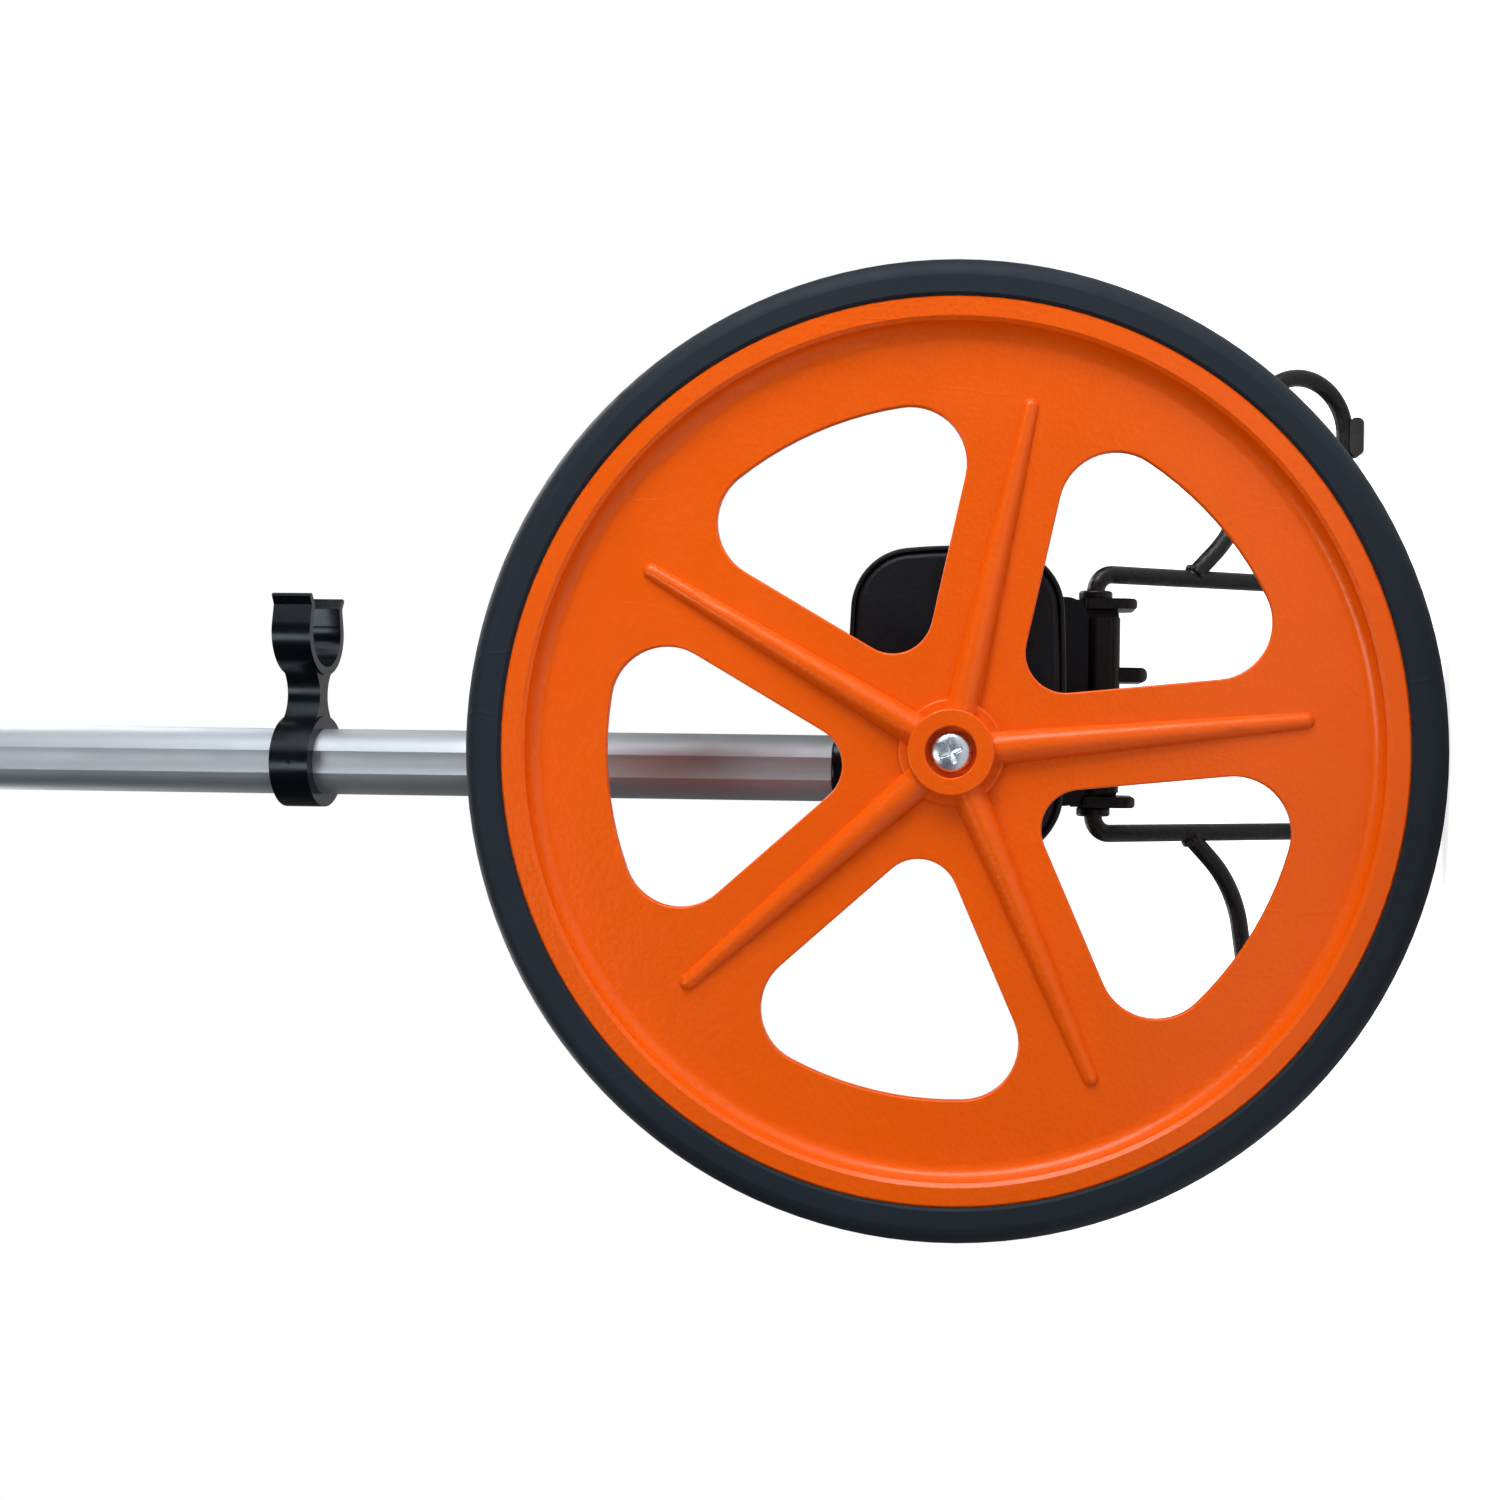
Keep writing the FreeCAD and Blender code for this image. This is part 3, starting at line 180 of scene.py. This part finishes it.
def bump(tree, shader, heights):
    """Chain of bump nodes from (height, strength, distance in metres)."""
    normal = None
    for height, strength, distance in heights:
        node = tree.nodes.new("ShaderNodeBump")
        node.inputs["Strength"].default_value = strength
        node.inputs["Distance"].default_value = distance
        tree.links.new(height, node.inputs["Height"])
        if normal is not None:
            tree.links.new(normal, node.inputs["Normal"])
        normal = node.outputs["Normal"]
    tree.links.new(normal, shader.inputs["Normal"])


def shade(colour, factor):
    return tuple(min(1.0, c * factor) for c in colour)


def scuff_lines(tree, scale, width, stretch):
    """Thin wandering lines, taken where a stretched noise crosses its middle."""
    value = noise(tree, scale, 1.5, 0.5, stretch)
    offset = tree.nodes.new("ShaderNodeMath")
    offset.operation = "SUBTRACT"
    offset.inputs[1].default_value = 0.5
    tree.links.new(value, offset.inputs[0])
    away = tree.nodes.new("ShaderNodeMath")
    away.operation = "ABSOLUTE"
    tree.links.new(offset.outputs["Value"], away.inputs[0])
    lines = spread(tree, away.outputs["Value"], 1.0, 0.0, 0.0, width)
    patches = spread(tree, noise(tree, scale * 0.8, 2.0), 0.0, 1.0, 0.52, 0.60)
    both = tree.nodes.new("ShaderNodeMath")
    both.operation = "MULTIPLY"
    tree.links.new(lines, both.inputs[0])
    tree.links.new(patches, both.inputs[1])
    return both.outputs["Value"]


def leather(tree, scale):
    """Cell pattern of a grained moulding."""
    coords = tree.nodes.new("ShaderNodeTexCoord")
    cells = tree.nodes.new("ShaderNodeTexVoronoi")
    cells.inputs["Scale"].default_value = scale
    tree.links.new(coords.outputs["Object"], cells.inputs["Vector"])
    return cells.outputs["Distance"]


def surface(name, colour, rough, metallic=0.0, vary=0.08, blotch=14.0, rough_vary=0.06,
            grain=(1500.0, 0.25, 0.00012), waves=(220.0, 0.08, 0.0003), stretch=None,
            specular=0.5, tint=(1.0, 1.0, 1.0), coat=(0.0, 0.1), cells=None, scuffs=None):
    """A finish with colour drift, uneven gloss, a fine grain and slow waves."""
    material, tree, shader = new_material(name)
    drift = noise(tree, blotch, 4.0, 0.6)
    stops = [(0.25, shade(colour, 1.0 - vary)), (0.5, colour), (0.78, shade(colour, 1.0 + vary))]
    tree.links.new(ramp(tree, drift, stops), shader.inputs["Base Color"])
    smears = noise(tree, blotch * 3.1, 5.0, 0.65)
    tree.links.new(spread(tree, smears, rough - rough_vary, rough + rough_vary), shader.inputs["Roughness"])
    shader.inputs["Metallic"].default_value = metallic
    shader.inputs["Specular IOR Level"].default_value = specular
    shader.inputs["Specular Tint"].default_value = (*tint, 1.0)
    shader.inputs["Coat Weight"].default_value = coat[0]
    shader.inputs["Coat Roughness"].default_value = coat[1]
    fine = noise(tree, grain[0], 2.0, 0.5, stretch)
    slow = noise(tree, waves[0], 2.0, 0.5, stretch)
    heights = [(slow, waves[1], waves[2]), (fine, grain[1], grain[2])]
    if cells:
        heights.append((leather(tree, cells[0]), cells[1], cells[2]))
    if scuffs:
        heights.append((scuff_lines(tree, scuffs[0], scuffs[1], (1.0, 1.0, 0.3)), scuffs[2], scuffs[3]))
    bump(tree, shader, heights)
    return material


def clear_plastic(name):
    material, tree, shader = new_material(name)
    shader.inputs["Base Color"].default_value = (0.05, 0.06, 0.07, 1.0)
    shader.inputs["Alpha"].default_value = 0.14
    shader.inputs["IOR"].default_value = 1.46
    haze = noise(tree, 60.0, 4.0, 0.6)
    tree.links.new(spread(tree, haze, 0.03, 0.09), shader.inputs["Roughness"])
    bump(tree, shader, [(noise(tree, 90.0, 2.0), 0.05, 0.0002)])
    return material


FINISHES = {
    "tyre_rubber": surface("tyre_rubber", (0.010, 0.015, 0.023), 0.62, vary=0.15, rough_vary=0.07,
                           grain=(900.0, 0.14, 0.00015), waves=(60.0, 0.10, 0.0005), specular=0.24,
                           tint=(0.82, 0.92, 1.0), scuffs=(38.0, 0.012, 0.35, 0.0003)),
    "orange_plastic": surface("orange_plastic", (0.80, 0.099, 0.0003), 0.34, vary=0.05, rough_vary=0.05,
                              grain=(1100.0, 0.20, 0.00014), waves=(260.0, 0.10, 0.0004), specular=0.28,
                              tint=(1.0, 0.84, 0.62), coat=(0.20, 0.13),
                              cells=(620.0, 0.42, 0.00024), scuffs=(26.0, 0.006, 0.30, 0.0002)),
    "case_plastic": surface("case_plastic", (0.0030, 0.0026, 0.0040), 0.40, vary=0.2, rough_vary=0.05,
                            grain=(1600.0, 0.40, 0.00016), waves=(200.0, 0.06, 0.0003), specular=0.28,
                            tint=(0.84, 0.88, 1.0)),
    "clip_plastic": surface("clip_plastic", (0.0016, 0.0019, 0.0032), 0.22, vary=0.2, rough_vary=0.06,
                            grain=(1100.0, 0.08, 0.0001), waves=(90.0, 0.08, 0.0004), specular=0.28,
                            tint=(0.72, 0.86, 1.0)),
    "tube_aluminium": surface("tube_aluminium", (0.41, 0.447, 0.485), 0.56, metallic=0.9, vary=0.04,
                              rough_vary=0.05, grain=(900.0, 0.16, 0.0001), waves=(300.0, 0.10, 0.00012),
                              stretch=(1.0, 1.0, 0.012)),
    "shaft_steel": surface("shaft_steel", (0.50, 0.51, 0.52), 0.30, metallic=1.0, vary=0.08),
    "zinc_steel": surface("zinc_steel", (0.62, 0.69, 0.76), 0.30, metallic=1.0, vary=0.12, blotch=160.0,
                          rough_vary=0.10, grain=(2200.0, 0.15, 0.00008), waves=(500.0, 0.12, 0.0001)),
    "bush_bronze": surface("bush_bronze", (0.42, 0.24, 0.09), 0.38, metallic=1.0, vary=0.15),
    "gear_plastic": surface("gear_plastic", (0.68, 0.65, 0.57), 0.45, vary=0.05),
    "drum_plastic": surface("drum_plastic", (0.012, 0.012, 0.013), 0.4, vary=0.15),
    "window_clear": clear_plastic("window_clear"),
    "bracket_paint": surface("bracket_paint", (0.0024, 0.0022, 0.0030), 0.38, specular=0.28, vary=0.2,
                             rough_vary=0.08, grain=(1200.0, 0.35, 0.00018), waves=(260.0, 0.2, 0.0003)),
    "wire_paint": surface("wire_paint", (0.0028, 0.0026, 0.0032), 0.40, specular=0.34, vary=0.25,
                          blotch=60.0, rough_vary=0.1,
                          grain=(1400.0, 0.5, 0.0002), waves=(420.0, 0.6, 0.0005)),
    "grip_rubber": surface("grip_rubber", (0.012, 0.012, 0.013), 0.62, vary=0.2,
                           grain=(1200.0, 0.5, 0.0002), waves=(150.0, 0.15, 0.0004)),
    "pad_rubber": surface("pad_rubber", (0.016, 0.016, 0.017), 0.72, vary=0.25,
                          grain=(900.0, 0.6, 0.0003), waves=(260.0, 0.3, 0.0005)),
}
NUMERAL_PAINT = surface("numeral_paint", (0.82, 0.82, 0.78), 0.5, vary=0.04)


def dress_cad():
    for part in RECORD["subparts"]:
        node = NODES[part["node"]]
        node.data.materials.clear()
        node.data.materials.append(FINISHES[part["material_slot"]])


# --------------------------------------------------------------- pieces

def mesh_piece(name, bm, material, body):
    mesh = bpy.data.meshes.new(name)
    bm.to_mesh(mesh)
    bm.free()
    for face in mesh.polygons:
        face.use_smooth = True
    piece = bpy.data.objects.new(name, mesh)
    bpy.context.scene.collection.objects.link(piece)
    mesh.materials.append(material)
    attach(piece, body)
    return piece


def joint_place(name):
    """Place of a joint's axis, in metres."""
    return next(joint for joint in frame["joints"] if joint["name"] == name)["pos_m"]


def bridge(bm, rings):
    """Faces between each ring of vertices and the next one."""
    for lower, upper in zip(rings, rings[1:]):
        for k in range(len(lower)):
            n = (k + 1) % len(lower)
            bm.faces.new((lower[k], lower[n], upper[n], upper[k]))


def lathe(profile, centre, segments):
    """Closed surface of revolution about +Z from (radius, z) pairs."""
    bm = bmesh.new()
    rings = []
    for r, z in profile:
        ring = []
        for k in range(segments):
            a = 2.0 * math.pi * k / segments
            ring.append(bm.verts.new((centre.x + r * math.cos(a), centre.y + r * math.sin(a), z)))
        rings.append(ring)
    bridge(bm, rings + rings[:1])
    bmesh.ops.recalc_face_normals(bm, faces=bm.faces)
    return bm


def ribbed_grip():
    """Foam grip with soft finger swells and fine moulded rings."""
    low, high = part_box("handle_grip")
    centre = 0.5 * (low + high)
    outer = 0.5 * (high.x - low.x)
    inner = outer - SLEEVE_WALL
    length = high.z - low.z
    profile = []
    for n in range(SLEEVE_STEPS + 1):
        t = n / SLEEVE_STEPS
        swell = SWELL_HEIGHT * math.cos(2.0 * math.pi * SWELLS * t)
        ring = RING_HEIGHT * math.cos(2.0 * math.pi * t * length / RING_PITCH)
        edge = min(t, 1.0 - t) * length
        ribbed = min(1.0, max(0.0, (edge - PLAIN_END) / PLAIN_FADE))
        near_end = 1.0 - min(1.0, edge / END_ROUND)
        dome = END_DROP * (1.0 - math.sqrt(max(0.0, 1.0 - near_end ** 2)))
        r = outer - SLEEVE_GAP - ribbed * (RIBBED_DEPTH - swell - ring) - dome
        profile.append((r, low.z + t * length))
    profile.append((inner, high.z))
    profile.append((inner, low.z))
    sleeve = lathe(profile, centre, 96)
    piece = mesh_piece("grip_sleeve", sleeve, FINISHES["grip_rubber"], "upper_handle")
    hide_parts("handle_grip")


def numerals(number):
    """Ten raised numerals round one counter drum."""
    node = "digit_drum_%d" % number
    low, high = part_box(node)
    centre = 0.5 * (low + high)
    radius = 0.5 * (high.x - low.x)
    upright = Matrix(((0, 1, 0), (-1, 0, 0), (0, 0, 1))).to_4x4()
    seat = Matrix.Translation((0, 0, radius + NUMERAL_SEAT))
    bm = bmesh.new()
    for digit in range(10):
        text = bpy.data.curves.new("numeral", "FONT")
        text.body = str(digit)
        text.size = NUMERAL_HEIGHT
        text.align_x = "CENTER"
        text.align_y = "CENTER"
        text.extrude = NUMERAL_THICK
        shape = bpy.data.objects.new("numeral", text)
        mesh = bpy.data.meshes.new_from_object(shape)
        turn = Matrix.Rotation(math.radians(-36.0 * digit), 4, "Y")
        mesh.transform(Matrix.Translation(centre) @ turn @ seat @ upright)
        for vertex in mesh.vertices:
            arm = Vector((vertex.co.x - centre.x, 0.0, vertex.co.z - centre.z))
            outside = arm.length > radius + NUMERAL_SEAT
            arm = arm.normalized() * (radius + NUMERAL_RAISED if outside else radius - NUMERAL_SUNK)
            vertex.co.x = centre.x + arm.x
            vertex.co.z = centre.z + arm.z
        bm.from_mesh(mesh)
        bpy.data.objects.remove(shape)
        bpy.data.meshes.remove(mesh)
        bpy.data.curves.remove(text)
    piece = mesh_piece("numerals_%d" % number, bm, NUMERAL_PAINT, "counter_%d" % number)
    for face in piece.data.polygons:
        face.use_smooth = False


def rounded_outline(centre, half_x, half_y, r, z):
    """Points of a rounded rectangle, the same number for any size."""
    points = []
    for sx, sy, start in ((1, 1, 0), (-1, 1, 90), (-1, -1, 180), (1, -1, 270)):
        for k in range(9):
            a = math.radians(start + 90.0 * k / 8.0)
            points.append((centre.x + sx * (half_x - r) + r * math.cos(a),
                           centre.y + sy * (half_y - r) + r * math.sin(a), z))
    return points


def loft(outlines):
    """Closed tube of faces through outlines of equal length, joined end to end."""
    bm = bmesh.new()
    rings = [[bm.verts.new(point) for point in outline] for outline in outlines]
    bridge(bm, rings + rings[:1])
    bmesh.ops.recalc_face_normals(bm, faces=bm.faces)
    return bm


def screw_recess(x, z):
    """Depth of the cross recess at a point of the hub screw's head, in mm."""
    turn = math.radians(CROSS_TURN)
    along = x * math.cos(turn) + z * math.sin(turn)
    across = z * math.cos(turn) - x * math.sin(turn)
    reach = math.hypot(x, z)
    half = CROSS_HALF + CROSS_FLARE * max(0.0, 1.0 - reach / CROSS_FLARE_R)
    first = math.exp(-CROSS_BLEND * (abs(along) - half))
    second = math.exp(-CROSS_BLEND * (abs(across) - half))
    off_cross = -math.log(first + second) / CROSS_BLEND
    in_cross = min(1.0, max(0.0, 0.5 - off_cross / CROSS_WALL))
    in_reach = min(1.0, max(0.0, (CROSS_R - reach) / CROSS_END))
    return in_cross * in_reach * (CROSS_DEPTH + CROSS_CENTRE * max(0.0, 1.0 - reach / CROSS_CENTRE_R))


def hub_screw():
    """Pan-head screw with a cross recess, in place of the plainer solid."""
    low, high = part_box("hub_screw")
    centre = 0.5 * (low + high)
    head = 0.5 * (high.x - low.x) / MM
    height = DOME_EDGE + DOME_RISE
    seat = low.y + height * MM
    shank_end = (seat - high.y) / MM
    angles = [2.0 * math.pi * k / HEAD_SEGMENTS for k in range(HEAD_SEGMENTS)]
    bm = bmesh.new()

    def place(r, a, up):
        x = centre.x + r * math.cos(a) * MM
        z = centre.z + r * math.sin(a) * MM
        return bm.verts.new((x, seat - up * MM, z))

    rings = []
    for n in range(1, HEAD_RINGS + 1):
        r = (head - HEAD_CHAMFER) * n / HEAD_RINGS
        dome = DOME_EDGE + DOME_RISE * math.sqrt(max(0.0, 1.0 - (r / head) ** DOME_POWER))
        rings.append([place(r, a, dome - screw_recess(r * math.cos(a), r * math.sin(a))) for a in angles])
    for r, up in ((head, HEAD_EDGE), (head - HEAD_CHAMFER, 0.0), (SHANK_R, 0.0), (SHANK_R, shank_end)):
        rings.append([place(r, a, up) for a in angles])
    tip = place(0.0, 0.0, height - screw_recess(0.0, 0.0))
    end = place(0.0, 0.0, shank_end)
    bridge(bm, rings)
    for k in range(HEAD_SEGMENTS):
        n = (k + 1) % HEAD_SEGMENTS
        bm.faces.new((tip, rings[0][n], rings[0][k]))
        bm.faces.new((end, rings[-1][k], rings[-1][n]))
    bmesh.ops.recalc_face_normals(bm, faces=bm.faces)
    piece = mesh_piece("hub_screw_head", bm, FINISHES["zinc_steel"], "wheel")
    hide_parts("hub_screw")


def window_bezel():
    """Low frame round the counter window on top of the housing."""
    low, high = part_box("counter_window")
    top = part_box("rear_housing")[1].z
    centre = 0.5 * (low + high)
    half_x = 0.5 * (high.x - low.x)
    half_y = 0.5 * (high.y - low.y)
    outlines = []
    for out, lift in BEZEL_SECTION:
        outlines.append(rounded_outline(centre, half_x + out * MM, half_y + out * MM,
                                        (BEZEL_CORNER + out) * MM, top + lift * MM))
    mesh_piece("window_bezel", loft(outlines), FINISHES["clip_plastic"], "root")


def coil_spring():
    """Spring under the reset button."""
    low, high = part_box("reset_spring")
    centre = 0.5 * (low + high)
    coil_r = 0.5 * (high.x - low.x) - SPRING_WIRE_R
    rise = high.z - low.z - 2.0 * SPRING_WIRE_R
    around = 10
    bm = bmesh.new()
    rings = []
    for n in range(SPRING_STEPS + 1):
        a = 2.0 * math.pi * SPRING_TURNS * n / SPRING_STEPS
        out = Vector((math.cos(a), math.sin(a), 0.0))
        height = low.z + SPRING_WIRE_R + rise * n / SPRING_STEPS
        middle = Vector((centre.x, centre.y, height)) + out * coil_r
        ring = []
        for k in range(around):
            b = 2.0 * math.pi * k / around
            up = Vector((0, 0, SPRING_WIRE_R * math.sin(b)))
            ring.append(bm.verts.new(middle + out * SPRING_WIRE_R * math.cos(b) + up))
        rings.append(ring)
    bridge(bm, rings)
    bm.faces.new(rings[0])
    bm.faces.new(rings[-1])
    bmesh.ops.recalc_face_normals(bm, faces=bm.faces)
    piece = mesh_piece("reset_coil", bm, FINISHES["shaft_steel"], "root")
    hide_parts("reset_spring")
    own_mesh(piece)


def weld(side, name):
    """Lumpy bead of weld where one leg meets the stand frame."""
    pivot = joint_place("stand_fold")
    low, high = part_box("stand_frame")
    across = 0.5 * (high.x - low.x) - WELD_INSET
    down = Vector((0.0, math.sin(STAND_LEAN), -math.cos(STAND_LEAN)))
    centre = Vector((0.5 * (low.x + high.x) + side * across, pivot[1], pivot[2])) + down * WELD_DOWN
    axis = (Vector((side, 0.0, 0.0)) * WELD_FACING[0] + down * WELD_FACING[1]).normalized()
    u = axis.cross(Vector((0.0, 1.0, 0.0))).normalized()
    v = axis.cross(u)
    sides, around = 10, 72
    outlines = []
    for j in range(sides):
        b = 2.0 * math.pi * j / sides
        outline = []
        for k in range(around):
            a = 2.0 * math.pi * k / around
            lump = 1.0 + 0.16 * math.sin(13.0 * a) + 0.08 * math.sin(7.0 * a + 1.0)
            r = STAND_WIRE_R + (BEAD_SINK + BEAD_HEIGHT * lump * math.cos(b)) * MM
            shift = BEAD_WIDTH * lump * math.sin(b) * MM
            outline.append(centre + u * r * math.cos(a) + v * r * math.sin(a) + axis * shift)
        outlines.append(outline)
    mesh_piece(name, loft(outlines), FINISHES["wire_paint"], "stand")


# ---------------------------------------------------------------- stage

def floor():
    """Plain pale floor, wide enough to run out of every view."""
    bm = bmesh.new()
    bmesh.ops.create_circle(bm, cap_ends=True, segments=96, radius=9.0)
    bmesh.ops.translate(bm, verts=bm.verts, vec=(0, 0, -0.0004))
    mesh = bpy.data.meshes.new("floor")
    bm.to_mesh(mesh)
    bm.free()
    ground = bpy.data.objects.new("floor", mesh)
    bpy.context.scene.collection.objects.link(ground)
    material, tree, shader = new_material("floor_pale")
    drift = noise(tree, 1.2, 3.0)
    tree.links.new(ramp(tree, drift, [(0.3, (0.80, 0.80, 0.80)), (0.7, (0.84, 0.84, 0.84))]),
                   shader.inputs["Base Color"])
    shader.inputs["Roughness"].default_value = 0.9
    shader.inputs["Emission Color"].default_value = (1.0, 1.0, 1.0, 1.0)
    where = tree.nodes.new("ShaderNodeTexCoord")
    distance = tree.nodes.new("ShaderNodeVectorMath")
    distance.operation = "LENGTH"
    tree.links.new(where.outputs["Object"], distance.inputs[0])
    glow = spread(tree, distance.outputs["Value"], 0.80, 1.0, 0.5, 2.2)
    path = tree.nodes.new("ShaderNodeLightPath")
    seen = tree.nodes.new("ShaderNodeMath")
    seen.operation = "MULTIPLY"
    tree.links.new(glow, seen.inputs[0])
    tree.links.new(path.outputs["Is Camera Ray"], seen.inputs[1])
    tree.links.new(seen.outputs["Value"], shader.inputs["Emission Strength"])
    mesh.materials.append(material)


def area_light(name, place, target, size, power, colour=(1.0, 1.0, 1.0)):
    data = bpy.data.lights.new(name, "AREA")
    data.shape = "RECTANGLE"
    data.size = size[0]
    data.size_y = size[1]
    data.energy = power
    data.color = colour
    light = bpy.data.objects.new(name, data)
    light.location = place
    light.rotation_euler = (Vector(target) - Vector(place)).to_track_quat("-Z", "Y").to_euler()
    bpy.context.scene.collection.objects.link(light)


def lights():
    """Surroundings that look white but light dimly, and six softboxes."""
    world = bpy.data.worlds.new("studio")
    bpy.context.scene.world = world
    world.use_nodes = True
    tree = world.node_tree
    dim = tree.nodes["Background"]
    dim.inputs["Color"].default_value = (0.92, 0.96, 1.0, 1.0)
    dim.inputs["Strength"].default_value = 0.07
    white = tree.nodes.new("ShaderNodeBackground")
    white.inputs["Color"].default_value = (1.0, 1.0, 1.0, 1.0)
    white.inputs["Strength"].default_value = 1.0
    path = tree.nodes.new("ShaderNodeLightPath")
    mix = tree.nodes.new("ShaderNodeMixShader")
    tree.links.new(path.outputs["Is Camera Ray"], mix.inputs["Fac"])
    tree.links.new(dim.outputs["Background"], mix.inputs[1])
    tree.links.new(white.outputs["Background"], mix.inputs[2])
    tree.links.new(mix.outputs["Shader"], tree.nodes["World Output"].inputs["Surface"])
    middle = (0.0, 0.0, 0.2)
    area_light("key", (1.22, -0.68, 0.42), middle, (0.7, 0.9), 17.0)
    area_light("side", (0.95, -1.15, 0.78), middle, (0.6, 0.6), 3.0)
    area_light("strip", (-0.25, -1.20, 1.25), (0.0, 0.0, 0.36), (0.35, 0.8), 6.0)
    area_light("rim", (0.5, 0.7, 1.4), middle, (0.7, 0.7), 3.0)
    area_light("back_key", (1.00, 1.00, 1.55), middle, (0.8, 0.8), 17.0)
    area_light("back_fill", (-0.75, 1.00, 1.65), middle, (0.8, 0.8), 11.0)


def camera():
    """Looks along the axle from the wheel's side, rolled so the handle points left."""
    axle = joint_place("wheel_spin")
    tyre_low, tyre_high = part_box("tyre")
    tyre_middle = 0.5 * (tyre_low.y + tyre_high.y)
    yaw, pitch, roll = (math.radians(angle) for angle in (CAMERA_YAW, CAMERA_PITCH, CAMERA_ROLL))
    sight = Vector((math.tan(yaw), math.tan(pitch), 1.0)).normalized()
    u = (Vector((1, 0, 0)) - sight * sight.x).normalized()
    v = sight.cross(u)
    along_x = u * math.sin(roll) - v * math.cos(roll)
    along_z = -(u * math.cos(roll) + v * math.sin(roll))
    place = Vector((axle[0] - CAMERA_SIDE * math.sin(roll) + CAMERA_DROP * math.cos(roll),
                    tyre_middle - CAMERA_AWAY,
                    axle[2] + CAMERA_SIDE * math.cos(roll) + CAMERA_DROP * math.sin(roll)))
    right = Vector((along_x.x, sight.x, along_z.x))
    up = -Vector((along_x.y, sight.y, along_z.y))
    back = -Vector((along_x.z, sight.z, along_z.z))
    data = bpy.data.cameras.new("camera")
    data.sensor_width = 36.0
    data.lens = CAMERA_LENS_MM
    data.shift_x = CAMERA_SHIFT
    data.clip_start = 0.01
    data.clip_end = 50.0
    view = bpy.data.objects.new("camera", data)
    view.matrix_world = Matrix((
        (right.x, up.x, back.x, place.x), (right.y, up.y, back.y, place.y),
        (right.z, up.z, back.z, place.z), (0, 0, 0, 1)))
    bpy.context.scene.collection.objects.link(view)
    bpy.context.scene.camera = view


dress_cad()
ribbed_grip()
for drum in range(1, DRUMS + 1):
    numerals(drum)
hub_screw()
window_bezel()
coil_spring()
weld(1, "weld_right")
weld(-1, "weld_left")
floor()
lights()
camera()
bpy.context.scene.view_settings.view_transform = "Standard"
